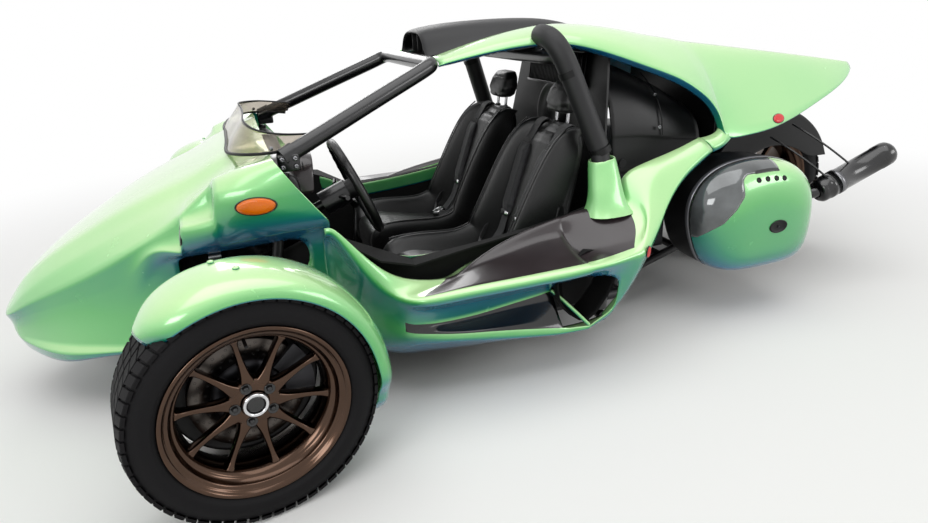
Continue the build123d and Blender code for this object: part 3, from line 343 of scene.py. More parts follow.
# A pale silver that paints the highlight along the case shells' front edge
PAINTED_HIGHLIGHT_SILVER = Finish("silver_lacquer", "76767b", 0.3, metallic=0.6, coat=0.6, spread=0.05)
SPRING_PAINT = Finish("spring_enamel", "b8323a", 0.35, coat=0.4)  # thick gloss over wire
PIPE_BLACK = Finish("baked_black_pipe", "08080a", 0.24, coat=0.5, relief=0.1)


# Mesh tools; every length that they take is in millimetres


def linked(name: str, data: bpy.types.ID) -> Obj:
    """Puts an object with this data into the scene, at the origin.

    Args:
        name: The object's name.
        data: Its mesh, lamp, camera or curve.

    Returns:
        The object.
    """
    obj = bpy.data.objects.new(name, data)
    bpy.context.scene.collection.objects.link(obj)
    return obj


def mesh_object(name: str, points: Iterable[Point], faces: Iterable[Sequence[int]],
                finish: Finish | None = None, edges: Sequence[tuple[int, int]] = ()) -> Obj:
    """Makes a smooth shaded mesh object at the origin.

    Args:
        name: The piece's name.
        points: Its corners, in millimetres.
        faces: Its faces, by corner number.
        finish: Its finish.
        edges: Its loose edges, by corner number.

    Returns:
        The object.
    """
    mesh = bpy.data.meshes.new(name)
    mesh.from_pydata([tuple(v * MM for v in p) for p in points], edges, [list(f) for f in faces])
    mesh.shade_smooth()
    if finish:
        mesh.materials.append(finish.build())
    return linked(name, mesh)


def evaluated(obj: Obj) -> Obj:
    """A piece as it is with its modifiers."""
    bpy.context.view_layer.update()
    return obj.evaluated_get(bpy.context.evaluated_depsgraph_get())


def edit(obj: Obj, change: Callable[[Mesh], None]) -> Obj:
    """Changes a mesh through bmesh.

    Args:
        obj: The mesh object.
        change: What is done to its bmesh.

    Returns:
        The same object.
    """
    bm = bmesh.new()
    bm.from_mesh(obj.data)
    change(bm)
    bm.to_mesh(obj.data)
    bm.free()
    obj.data.update()
    return obj


def face_away(obj: Obj, inside: Point) -> Obj:
    """Turns an open shell's faces so that they look away from a point inside it.

    Args:
        obj: The shell.
        inside: The point.

    Returns:
        The same object.
    """
    centre = Vector(inside) * MM

    def turn(bm: Mesh) -> None:
        """Makes the faces agree, and flips them if they look inwards.

        Args:
            bm: The mesh to change.
        """
        face_out(bm)
        total = sum(f.normal.dot(f.calc_center_median() - centre) * f.calc_area() for f in bm.faces)
        if total < 0:
            bmesh.ops.reverse_faces(bm, faces=bm.faces)

    return edit(obj, turn)


def face_out(bm: Mesh) -> None:
    """Makes a closed shell's faces agree and look out."""
    bmesh.ops.recalc_face_normals(bm, faces=bm.faces)


def close_seam(bm: Mesh) -> None:
    """Merges the points of a turned shell that lie on each other."""
    bmesh.ops.remove_doubles(bm, verts=bm.verts, dist=1e-6)
    face_out(bm)


def lattice(name: str, rows: Sequence[Sequence[Point]], finish: Finish, inside: Point | None = None,
            ring: bool = False, caps: bool = False, sharp_columns: dict[int, float] | None = None,
            sharp_rows: dict[int, float] | None = None, step_span: Sequence[int] = (0, 999),
            sharp_span: tuple[int, int] = (0, 999), gaps: Callable[[int, int], bool] | None = None,
            marks: Callable[[int, int], int] | None = None) -> Obj:
    """A net of four sided faces through rows of points.

    Args:
        name: The piece's name.
        rows: Rows of as many points each.
        finish: Its finish.
        inside: A point that the faces look away from, for an open shell.
        ring: Whether each row closes on itself.
        caps: Whether the first and last rows are closed by a face.
        sharp_columns: Column number to crease.
        sharp_rows: Row number to crease.
        step_span: First and last columns of the stretches over which rows are creased.
        sharp_span: The rows between which the columns are creased.
        gaps: Says whether the face at a row and column is left out.
        marks: Gives the number of the finish of the face at a row and column.

    Returns:
        The object.
    """
    wide = len(rows[0])
    points = [p for row in rows for p in row]
    faces = []
    numbers = []
    for i in range(len(rows) - 1):
        for j in range(wide if ring else wide - 1):
            if gaps and gaps(i, j):
                continue
            numbers.append(marks(i, j) if marks else 0)
            k = (j + 1) % wide
            faces.append((i * wide + j, i * wide + k, (i + 1) * wide + k, (i + 1) * wide + j))
    if caps:
        faces.append(tuple(range(wide)))
        faces.append(tuple(len(points) - wide + j for j in range(wide))[::-1])
    obj = mesh_object(name, points, faces, finish)
    for face, number in zip(obj.data.polygons, numbers):
        face.material_index = number

    def crease(bm: Mesh) -> None:
        """Marks the sharp lines and drops loose points.

        Args:
            bm: The mesh to change.
        """
        layer = bm.edges.layers.float.new("crease_edge")
        for edge in bm.edges:
            a, b = sorted(v.index for v in edge.verts)
            (ra, ca), (rb, cb) = divmod(a, wide), divmod(b, wide)
            if ca == cb and sharp_span[0] <= min(ra, rb) and max(ra, rb) <= sharp_span[1]:
                edge[layer] = (sharp_columns or {}).get(ca, 0.0)
            spans = zip(step_span[::2], step_span[1::2])
            if ra == rb and any(low <= min(ca, cb) and max(ca, cb) <= high for low, high in spans):
                edge[layer] = (sharp_rows or {}).get(ra, 0.0)
        bmesh.ops.delete(bm, geom=[v for v in bm.verts if not v.link_faces], context="VERTS")
        if inside is None:
            face_out(bm)

    edit(obj, crease)
    return face_away(obj, inside) if inside is not None else obj


def rounded(obj: Obj, levels: int = 2) -> Obj:
    """Adds a subdivision surface.

    Args:
        obj: The piece.
        levels: How often it is subdivided.

    Returns:
        The piece.
    """
    smooth = obj.modifiers.new("round", "SUBSURF")
    smooth.levels = smooth.render_levels = levels
    return obj


def walled(obj: Obj, wall: float = 4.0, levels: int = 2) -> Obj:
    """Rounds an open shell and gives it a wall on its inner side.

    Args:
        obj: The shell.
        wall: The wall's thickness.
        levels: How often the shell is subdivided.

    Returns:
        The same object.
    """
    rounded(obj, levels)
    solid = obj.modifiers.new("wall", "SOLIDIFY")
    solid.thickness = wall * MM
    solid.offset = -1.0
    return obj


def softened(obj: Obj, width: float = 2.0, segments: int = 2) -> Obj:
    """Rounds a piece's sharp edges with a bevel.

    Args:
        obj: The piece.
        width: The bevel's width.
        segments: How many faces go round an edge.

    Returns:
        The same object.
    """
    bevel = obj.modifiers.new("edge", "BEVEL")
    bevel.width = width * MM
    bevel.segments = segments
    bevel.limit_method = "ANGLE"
    bevel.angle_limit = math.radians(35)
    bevel.harden_normals = False
    return obj


def settled(obj: Obj) -> Obj:
    """Turns a piece with live modifiers, or a curve, into a plain mesh of the same name.

    Args:
        obj: The piece; it is used up.

    Returns:
        The plain mesh object.
    """
    mesh = bpy.data.meshes.new_from_object(evaluated(obj))
    name, materials = obj.name, [slot.material for slot in obj.material_slots]
    bpy.data.objects.remove(obj)
    mesh.name = name
    if not mesh.materials:
        for material in materials:
            mesh.materials.append(material)
    return linked(name, mesh)


def spun(name: str, profile: Iterable[tuple[float, float]], finish: Finish, steps: int = 96,
         closed: bool = False, y: float = 0.0, r: float = 0.0) -> Obj:
    """A turned piece about the Y axis.

    Args:
        name: The piece's name.
        profile: Points (y, radius) along its section.
        finish: Its finish.
        steps: How many stretches go round.
        closed: Whether the section closes on itself.
        y: Added to every y of the section.
        r: Added to every radius of the section.

    Returns:
        The object, about the origin.
    """
    section = [(y + out, r + radius) for out, radius in profile]
    angles = [2 * math.pi * index / steps for index in range(steps)]
    rows = [[(radius * math.sin(a), out, radius * math.cos(a)) for out, radius in section] for a in angles]
    return edit(lattice(name, [*rows, rows[0]], finish, ring=closed), close_seam)


def moved(x: float, y: float, z: float) -> Matrix:
    """A move, in millimetres."""
    return Matrix.Translation(Vector((x, y, z)) * MM)


def turned(degrees: float, axis: str) -> Matrix:
    """A turn about an axis through the origin."""
    return Matrix.Rotation(math.radians(degrees), 4, axis)


def placed(obj: Obj, matrix: Matrix) -> Obj:
    """Moves a piece's mesh, so that its object stays at the origin.

    Args:
        obj: The piece.
        matrix: The move, in metres.

    Returns:
        The same object.
    """
    obj.data.transform(matrix)
    if matrix.determinant() < 0:
        obj.data.flip_normals()
    obj.data.update()
    return obj


def joined(name: str, parts: Sequence[Obj]) -> Obj:
    """Makes one piece of several, with each one's finish kept.

    Args:
        name: The piece's name.
        parts: The pieces that it is made of; they are used up.

    Returns:
        The piece.
    """
    bm = bmesh.new()
    materials: list[Material] = []
    for part in parts:
        mesh = bpy.data.meshes.new_from_object(evaluated(part))
        numbers = []
        for slot in part.material_slots:
            if slot.material not in materials:
                materials.append(slot.material)
            numbers.append(materials.index(slot.material))
        start = len(bm.faces)
        bm.from_mesh(mesh)
        bm.faces.ensure_lookup_table()
        for face in bm.faces[start:]:
            face.material_index = numbers[min(face.material_index, len(numbers) - 1)]
        bpy.data.meshes.remove(mesh)
        bpy.data.objects.remove(part)
    whole = bpy.data.meshes.new(name)
    bm.to_mesh(whole)
    bm.free()
    for material in materials:
        whole.materials.append(material)
    return linked(name, whole)


def hose(name: str, points: Sequence[Point], radius: float, finish: Finish, smooth: bool = True,
         sides: int = 6, order: int = 4) -> Obj:
    """A round bar along a path.

    Args:
        name: The piece's name.
        points: The path's points.
        radius: Half its thickness.
        finish: Its finish.
        smooth: Whether the path bends smoothly through the points.
        sides: How round it is.
        order: 4 bends gently, 3 stays nearer to the points.

    Returns:
        A mesh object.
    """
    curve = bpy.data.curves.new(name, "CURVE")
    curve.dimensions = "3D"
    curve.resolution_u = 8 if smooth else 1
    spline = curve.splines.new("NURBS" if smooth else "POLY")
    spline.points.add(len(points) - 1)
    for target, point in zip(spline.points, points):
        target.co = (*(v * MM for v in point), 1)
    if smooth:
        spline.order_u = min(order, len(points))
        spline.use_endpoint_u = True
    curve.bevel_depth = radius * MM
    curve.bevel_resolution = sides
    curve.use_fill_caps = True
    curve.materials.append(finish.build())
    return settled(linked(name, curve))


def rod(name: str, start: Point, end: Point, radius: float, finish: Finish, sides: int = 6) -> Obj:
    """A straight round bar between two points."""
    return hose(name, [start, end], radius, finish, smooth=False, sides=sides)


def solid_box(name: str, low: Point, high: Point, finish: Finish, edge: float = 3.0) -> Obj:
    """A block with rounded edges between two corners.

    Args:
        name: The piece's name.
        low: Its lowest corner.
        high: Its highest corner.
        finish: Its finish.
        edge: The width of its rounded edges.

    Returns:
        The object.
    """
    xs, ys, zs = zip(low, high)
    points = [(x, y, z) for x in xs for y in ys for z in zs]
    faces = [(0, 1, 3, 2), (4, 6, 7, 5), (0, 4, 5, 1), (2, 3, 7, 6), (0, 2, 6, 4), (1, 5, 7, 3)]
    obj = mesh_object(name, points, faces, finish)
    return softened(edit(obj, face_out), edge, 3)


def both_halves(half: Sequence[Point]) -> list[Point]:
    """A row across the whole car from its left half, which starts on the middle plane."""
    return [(x, -y, z) for x, y, z in half[:0:-1]] + list(half)


def spread(points: Sequence[Point], count: int) -> list[Point]:
    """Points at even distances along a line of points.

    Args:
        points: The line.
        count: How many points are wanted, both ends among them.

    Returns:
        The points.
    """
    knots = [Vector(p) for p in points]
    lengths = [0.0]
    for a, b in zip(knots, knots[1:]):
        lengths.append(lengths[-1] + (b - a).length)
    result = []
    for index in range(count):
        want = lengths[-1] * index / (count - 1)
        k = max(i for i, length in enumerate(lengths[:-1]) if length <= want + 1e-9)
        share = (want - lengths[k]) / max(lengths[k + 1] - lengths[k], 1e-9)
        result.append(tuple(knots[k].lerp(knots[k + 1], min(share, 1.0))))
    return result


def squircle(count: int, power: float) -> list[tuple[float, float]]:
    """Points round a square with round corners, from -1 to 1.

    Args:
        count: How many points go round.
        power: How round it is: 1 is a circle, and lower is squarer.

    Returns:
        The points.
    """
    turns = [2 * math.pi * k / count for k in range(count)]
    return [(rooted(math.cos(turn), power), rooted(math.sin(turn), power)) for turn in turns]


def rooted(value: float, power: float) -> float:
    """A power of a number, with the number's sign."""
    return math.copysign(abs(value) ** power, value)


def mirrored(points: Iterable[Point], side: Side) -> list[Point]:
    """Points of the left side as they are, or their mirror images on the right."""
    return [(x, y * side, z) for x, y, z in points]


def keep(piece: Obj, slot: str, *nodes: str, body: str = "chassis") -> Obj:
    """Lets a piece ride on a body, in place of CAD nodes.

    Args:
        piece: The finished piece.
        slot: The record's material slot; not used.
        nodes: The CAD nodes that it stands for.
        body: The body that it moves with.

    Returns:
        The piece.
    """
    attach(piece, body)
    if nodes:
        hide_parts(*nodes)
    LOG.info("%s rides on %s", piece.name, body)
    return piece


def keep_joined(name: str, parts: Sequence[Obj], slot: str, *nodes: str, body: str = "chassis") -> Obj:
    """Makes one piece of several and keeps it, as joined and keep say."""
    return keep(joined(name, parts), slot, *nodes, body=body)


def dress(finish: Finish, *nodes: str) -> None:
    """Gives CAD nodes that stay a real finish.

    Args:
        finish: The finish.
        nodes: The nodes.
    """
    for node in nodes:
        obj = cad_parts[node]
        if not obj.material_slots:
            obj.data.materials.append(None)
        for slot in obj.material_slots:
            slot.material = finish.build()
        LOG.info("%s is dressed in %s", node, finish.name)


# Body panels


@dataclass(frozen=True)
class NoseShell:
    """The front bodywork: beak, hood, lamp steps, front bulges, air lip and suspension windows."""

    wall: float = 5.0
    hollow: float = 10.0
    edge_foot: tuple[float, float] = (606, 563)
    edge_top: tuple[float, float] = (768, 793)
    seam_x: float = 641.0
    # x, then y and z of: centre, ridge, valley, brow, crease, wall foot, lip, lip's under edge
    beak: tuple = (
        (1646, (0, 297), (10, 297), (18, 296), (26, 294), (32, 289), (36, 232), (38, 222), (34, 196)),
        (1632, (0, 319), (24, 317), (42, 313), (54, 307), (64, 298), (70, 228), (78, 214), (70, 182)),
        (1600, (0, 363), (44, 359), (70, 349), (88, 338), (100, 320), (112, 228), (126, 212), (116, 174)),
        (1555, (0, 419), (74, 413), (106, 396), (128, 380), (144, 352), (162, 230), (184, 212), (172, 172)),
        (1490, (0, 474), (108, 466), (146, 444), (168, 426), (192, 386), (214, 232), (240, 214), (230, 176)),
        (1410, (0, 527), (146, 518), (186, 492), (212, 474), (246, 424), (262, 236), (286, 220), (278, 192)),
        (1340, (0, 567), (173, 556), (218, 530), (248, 512), (290, 458), (302, 240), (322, 226), (314, 208)),
        (1270, (0, 606), (196, 595), (246, 567), (280, 550), (338, 498), (344, 244), (356, 233), (350, 220)),
        (1200, (0, 641), (217, 630), (272, 602), (310, 586), (382, 540), (382, 248), (389, 240), (384, 224)),
    )
    # x, then y and z of: centre, ridge, valley, brow, crease, step foot, step edge, bulge side,
    # bulge foot, window's top, window's foot, wall, lower wall, lower edge
    flank: tuple = (
        (1132, (0, 670), (236, 659), (294, 632), (336, 617), (412, 577), (416, 568), (424, 561),
         (420, 538), (408, 508), (402, 486), (397, 430), (394, 310), (396, 240), (394, 195)),
        (1062, (0, 698), (246, 687), (304, 661), (350, 649), (444, 622), (450, 569), (482, 561),
         (474, 544), (448, 530), (440, 522), (414, 452), (402, 320), (398, 228), (396, 184)),
        (1038, (0, 706), (249, 695), (308, 670), (356, 659), (452, 642), (458, 570), (503, 562),
         (497, 548), (462, 534), (452, 528), (428, 450), (410, 325), (406, 226), (404, 180)),
        (1028, (0, 709), (250, 699), (310, 674), (359, 663), (455, 650), (462, 640), (516, 632),
         (519, 575), (466, 537), (454, 530), (430, 450), (414, 328), (410, 226), (408, 178)),
        (985, (0, 727), (255, 717), (316, 693), (366, 683), (467, 688), (473, 648), (540, 640),
         (545, 584), (474, 538), (458, 531), (438, 447), (424, 332), (420, 228), (418, 172)),
        (938, (0, 750), (260, 741), (322, 718), (374, 711), (478, 728), (486, 662), (557, 654),
         (566, 596), (484, 541), (464, 533), (446, 445), (434, 336), (432, 240), (430, 168)),
        (926, (0, 756), (261, 747), (324, 724), (376, 718), (481, 748), (522, 746), (560, 722),
         (572, 604), (486, 543), (466, 534), (448, 444), (436, 338), (434, 240), (432, 167)),
        (870, (0, 779), (270, 773), (334, 756), (388, 752), (493, 768), (556, 764), (590, 726),
         (598, 612), (494, 547), (474, 537), (456, 443), (446, 340), (444, 240), (442, 165)),
    )
    # y and z of the same columns where the rear edge cuts them off
    rear: tuple = ((0, 797), (275, 794), (338, 790), (394, 788), (508, 792), (592, 800), (612, 728),
                   (615, 640), (600, 612), (532, 566), (508, 440), (505, 340), (504, 240), (504, 164))

    def row(self, station: tuple) -> list[Point]:
        """One row of the left half as fourteen points.

        Args:
            station: x, then y and z of eight points of the beak or fourteen of the flank.

        Returns:
            The points, from the middle to the lower edge.
        """
        x, *pairs = station
        if len(pairs) == 14:
            return [(x, y, z) for y, z in pairs]
        crease, foot = pairs[4], pairs[5]
        wall = []
        for k in range(1, 7):
            share = k / 7
            y = crease[0] + (foot[0] - crease[0]) * share - self.hollow * math.sin(math.pi * share)
            wall.append((y, crease[1] + (foot[1] - crease[1]) * share))
        lean = max(0.0, (x - 1400) / 250) * 0.25
        return [(x - (pairs[0][1] - z) * lean, y, z) for y, z in [*pairs[:5], *wall, *pairs[5:]]]

    def rear_x(self, z: float) -> float:
        """Where the slanted door edge cuts the shell at a height.

        Args:
            z: The height.

        Returns:
            The x of the edge.
        """
        share = (z - self.edge_foot[1]) / (self.edge_top[1] - self.edge_foot[1])
        x = self.edge_foot[0] + (self.edge_top[0] - self.edge_foot[0]) * min(share, 1.0)
        return max(x, self.seam_x)

    def rows(self) -> list[list[Point]]:
        """All rows of the left half from the tip to the rear edge.

        Returns:
            The rows.
        """
        rows = [self.row(s) for s in self.beak]
        tip = [(1641, y * 0.04, 255 + (z - 255) * 0.06) for _, y, z in rows[0]]
        rows += [self.row(s) for s in self.flank]
        last = rows[-1]
        for share in (0.4, 0.75, 0.96, 1.0):
            row = []
            for (x, y, z), (yr, zr) in zip(last, self.rear):
                xr = self.rear_x(zr)
                row.append((x + (xr - x) * share, y + (yr - y) * share, z + (zr - z) * share))
            rows.append(row)
        return [tip, *rows]

    def build(self) -> Obj:
        """Makes the shell, with the windows over the suspension left open.

        Returns:
            The finished piece.
        """
        rows = [both_halves(row) for row in self.rows()]
        middle = 13
        window = {middle + 9, middle - 10}
        passage = {middle + 10, middle + 11, middle - 11, middle - 12}
        first = 1 + len(self.beak) + 1

        def gap(i: int, j: int) -> bool:
            """Whether a face lies in a suspension window or in the steering rack's passage.

            Args:
                i: The face's row.
                j: Its column.

            Returns:
                True where the shell is open.
            """
            if j in window:
                return first <= i < len(rows) - 3
            return j in passage and first <= i < first + 3

        creases = {1: 0.5, 2: 0.3, 3: 0.4, 4: 0.5, 6: 0.5, 11: 0.5, 12: 0.6}
        steps = {first + 1: 0.75, first + 2: 0.75, first + 4: 0.75, first + 5: 0.75}
        sharp = {middle + side * k: v for k, v in creases.items() for side in (1, -1)}
        obj = lattice("nose_shell", rows, PAINT, inside=(1100, 0, 400), sharp_columns=sharp,
                      sharp_rows=steps, step_span=(middle - 8, middle - 4, middle + 4, middle + 8),
                      gaps=gap)
        return keep(walled(obj, self.wall), "body_paint", "nose_body")


@dataclass(frozen=True)
class SidePod:
    """One side's sill: green outer lip, dark inlay, channel, intake mouth and the arm to the tail."""

    side: Side = Side.LEFT
    wall: float = 5.0
    # x, how far back the inner edge lies, then y and z of: cockpit foot, inner edge, ridge's top,
    # ridge's foot, panel, lip's inner edge, lip, lip's under side, channel, shelf, low lip's top,
    # low lip's foot, belly
    sill: tuple = (
        (662, 0, (550, 566), (598, 600), (600, 598), (602, 595), (604, 590), (604, 584), (602, 576),
         (584, 566), (530, 550), (502, 440), (498, 330), (496, 210), (482, 170)),
        (639, 0, (556, 572), (606, 607), (608, 605), (610, 602), (612, 598), (612, 592), (610, 584),
         (590, 572), (538, 556), (510, 440), (506, 330), (504, 210), (490, 166)),
        (585, 0, (560, 500), (628, 540), (635, 531), (640, 519), (643, 505), (644, 489), (643, 472),
         (638, 452), (625, 424), (604, 392), (584, 340), (574, 205), (522, 162)),
        (520, 0, (556, 430), (642, 466), (650, 456), (656, 445), (660, 432), (663, 418), (664, 403),
         (661, 388), (654, 370), (646, 346), (640, 300), (642, 215), (562, 160)),
        (474, 30, (546, 380), (630, 414), (644, 410), (658, 404), (674, 397), (690, 389), (702, 380),
         (700, 366), (688, 346), (674, 290), (672, 272), (676, 228), (592, 156)),
        (434, 129, (532, 350), (612, 386), (630, 388), (658, 388), (698, 392), (734, 399), (751, 389),
         (741, 366), (690, 344), (672, 280), (685, 262), (690, 231), (598, 154)),
        (330, 60, (524, 370), (590, 394), (612, 402), (634, 398), (682, 402), (735, 406), (757, 396),
         (746, 372), (690, 346), (655, 268), (693, 240), (697, 218), (616, 152)),
        (240, 20, (514, 385), (568, 412), (592, 424), (612, 414), (670, 409), (736, 407), (760, 397),
         (749, 372), (684, 348), (641, 262), (698, 230), (701, 202), (632, 151)),
        (130, 0, (506, 396), (546, 442), (570, 458), (592, 430), (656, 415), (738, 407), (763, 397),
         (752, 372), (674, 350), (628, 268), (702, 214), (704, 182), (640, 150)),
        (20, 0, (502, 402), (528, 466), (553, 482), (577, 448), (650, 420), (738, 408), (764, 398),
         (754, 373), (660, 346), (622, 276), (704, 194), (708, 166), (640, 149)),
        (-26, 0, (500, 402), (524, 476), (550, 490), (574, 452), (652, 421), (738, 408), (764, 399),
         (755, 374), (640, 312), (620, 284), (704, 184), (708, 160), (640, 149)),
        (-86, 0, (498, 402), (521, 488), (548, 500), (572, 456), (654, 421), (738, 409), (763, 401),
         (754, 377), (690, 342), (664, 268), (704, 174), (706, 158), (640, 149)),
        (-98, 0, (498, 402), (520, 492), (548, 503), (574, 444), (656, 398), (737, 409), (763, 402),
         (754, 378), (700, 346), (680, 262), (704, 172), (705, 158), (640, 149)),
        (-150, 0, (498, 404), (520, 506), (548, 512), (580, 482), (656, 416), (736, 410), (761, 403),
         (752, 380), (718, 352), (704, 280), (704, 186), (700, 162), (640, 150)),
        (-215, 0, (498, 410), (521, 516), (552, 520), (590, 500), (656, 442), (730, 412), (755, 407),
         (746, 382), (730, 340), (718, 280), (706, 214), (692, 180), (640, 160)),
    )
    low_lip_x: float = -124.0
    # the rounded rear end of the inlay and the rim behind it, point by point
    inlay_end: tuple = (
        ((-318, 520, 470), (-330, 545, 514), (-347, 580, 498), (-350, 620, 472), (-326, 664, 446),
         (-262, 716, 417), (-270, 742, 412), (-264, 738, 386), (-254, 728, 334), (-240, 716, 280),
         (-220, 706, 228), (-208, 690, 196), (-200, 650, 172)),
        ((-330, 500, 500), (-346, 545, 530), (-370, 584, 512), (-374, 628, 484), (-348, 676, 456),
         (-292, 728, 426), (-304, 744, 408), (-298, 740, 380), (-284, 730, 332), (-268, 716, 287),
         (-246, 704, 240), (-232, 690, 215), (-218, 655, 190)),
    )
    # inner edge, shoulder, crest and lower edge of the stations from the inlay's end to the tail
    arm: tuple = (
        ((-352, 480, 602), (-388, 562, 556), (-406, 658, 466), (-364, 690, 390)),
        ((-430, 470, 624), (-455, 532, 596), (-473, 602, 520), (-448, 606, 470)),
        ((-520, 461, 638), (-540, 510, 618), (-562, 552, 580), (-552, 548, 546)),
        ((-615, 452, 656), (-625, 492, 642), (-637, 524, 614), (-638, 516, 586)),
        ((-700, 446, 682), (-704, 480, 674), (-714, 506, 650), (-724, 500, 629)),
    )

    def arm_row(self, keys: tuple) -> list[Point]:
        """Thirteen points along one of the arm's stations.

        Args:
            keys: Inner edge, shoulder, crest and lower edge.

        Returns:
            The points, from the foot to the lower edge.
        """
        inner, shoulder, crest, low = keys
        foot = (inner[0], inner[1] - 16, inner[2] - 46)
        upper = spread([inner, shoulder, crest], 6)
        lower = spread([crest, low], 7)[1:]
        bulge = [(x, y + 5 * math.sin(math.pi * k / 6), z) for k, (x, y, z) in enumerate(lower, 1)]
        return [foot, *upper, *bulge]

    def rows(self) -> list[list[Point]]:
        """All stations from the flange behind the front wheel to the seam under the tail.

        Returns:
            The rows of points.
        """
        rows = []
        for x, back, *pairs in self.sill:
            slant = [back * share for share in (1, 1, 0.91, 0.67, 0.25, -0.08)] + [0] * 7
            rows.append([(x - shift, y, z) for shift, (y, z) in zip(slant, pairs)])
        for row in rows[-4:-2]:
            for column in (10, 11):
                row[column] = (self.low_lip_x, *row[column][1:])
        rows += [list(row) for row in self.inlay_end]
        return rows + [self.arm_row(keys) for keys in self.arm]

    def mark(self, i: int, j: int) -> int:
        """Which finish a face takes: 0 the paint, 1 the inlay, 2 the low panel.

        Args:
            i: The face's row.
            j: The face's column.

        Returns:
            The finish's number.
        """
        if 5 <= i < len(self.sill) and 1 <= j <= 4:
            return 1
        if 4 <= i < len(self.sill) - 5 and j == 9:
            return 2
        return 0

    def build(self) -> Obj:
        """Makes the pod, its duct, the strut across the mouth and the flare at the hoop's foot.

        Returns:
            The pod's shell.
        """
        rows = [mirrored(row, self.side) for row in self.rows()]
        mouth = range(len(self.sill) - 5, len(self.sill) - 1)
        word = self.side.word

        def gap(i: int, j: int) -> bool:
            """Whether a face lies in the intake's mouth."""
            return i in mouth and j in (8, 9)

        inside = (200, 620 * self.side, 330)
        obj = lattice(f"side_pod_shell_{word}", rows, PAINT, inside=inside, gaps=gap, marks=self.mark,
                      sharp_columns={1: 0.6, 2: 0.4, 3: 0.5, 5: 0.8, 7: 0.6, 9: 0.6, 10: 0.6, 11: 0.3},
                      sharp_rows={11: 0.8, 12: 0.8}, step_span=(2, 5),
                      sharp_span=(5, len(self.sill) - 3))
        for finish in (DARK_INLAY, GLOSS_BLACK):
            obj.data.materials.append(finish.build())
        nodes = [f"side_pod_{word}", *(["sill_panels"] if self.side is Side.LEFT else [])]
        self.duct()
        self.flare()
        self.capping()
        return keep(walled(obj, self.wall), "body_paint", *nodes)

    def duct(self) -> None:
        """The dark duct behind the mouth, and the strut in front of it."""
        word = self.side.word
        rings = []
        for y, grow in ((672, 14), (640, 14), (576, 0), (566, -60)):
            mouth = ((-30 + grow, 400), (-230, 452), (-262, 320), (-160, 176), (-110, 166), (-30 + grow, 250))
            rings.append(mirrored([(x, y, z) for x, z in mouth], self.side))
        tunnel = lattice(f"intake_duct_{word}", rings, LINER, inside=(-100, 300 * self.side, 1000), ring=True)
        keep(walled(tunnel, 2.0, 1), "liner")
        line = mirrored([(-26, 622, 284), (-70, 660, 240), (-122, 702, 176)], self.side)
        keep(hose(f"intake_strut_{word}", line, 6, PAINT), "body_paint")

    def flare(self) -> None:
        """The tapered flare round the roll hoop's foot."""
        # x, y, half length, half width and z of each level
        levels = ((-268, 556, 84, 64, 494), (-268, 552, 74, 54, 512), (-268, 546, 64, 47, 534),
                  (-270, 534, 57, 42, 568), (-274, 516, 53, 39, 604), (-279, 497, 48, 38, 640),
                  (-281, 489, 45, 37, 658), (-281, 488, 41, 34, 661), (-280, 490, 38, 31, 652))
        rows = []
        for x, y, half_x, half_y, z in levels:
            lean = 5.4 if z > 600 else 0.0
            ring = [(x + u * half_x, y + v * half_y, z - lean * u) for u, v in squircle(20, 0.75)]
            rows.append(mirrored(ring, self.side))
        obj = lattice(f"hoop_flare_{self.side.word}", rows, PAINT, ring=True)
        keep(rounded(obj), "body_paint")

    def capping(self) -> None:
        """The painted capping over the inner lining's edge, seen from across the cockpit."""
        tops = ((556, 506), (500, 482), (450, 458), (400, 435), (300, 440), (180, 449), (60, 461),
                (-80, 481), (-150, 493), (-190, 503))
        edge = ((493, -62), (491.5, -30), (491.5, -10), (493.5, -6))
        rows = [mirrored([(x, y, z + drop) for y, drop in edge], self.side) for x, z in tops]
        strip = lattice(f"pod_capping_{self.side.word}", rows, PAINT, inside=(200, 900 * self.side, 400))
        keep(walled(strip, 1.5), "body_paint")


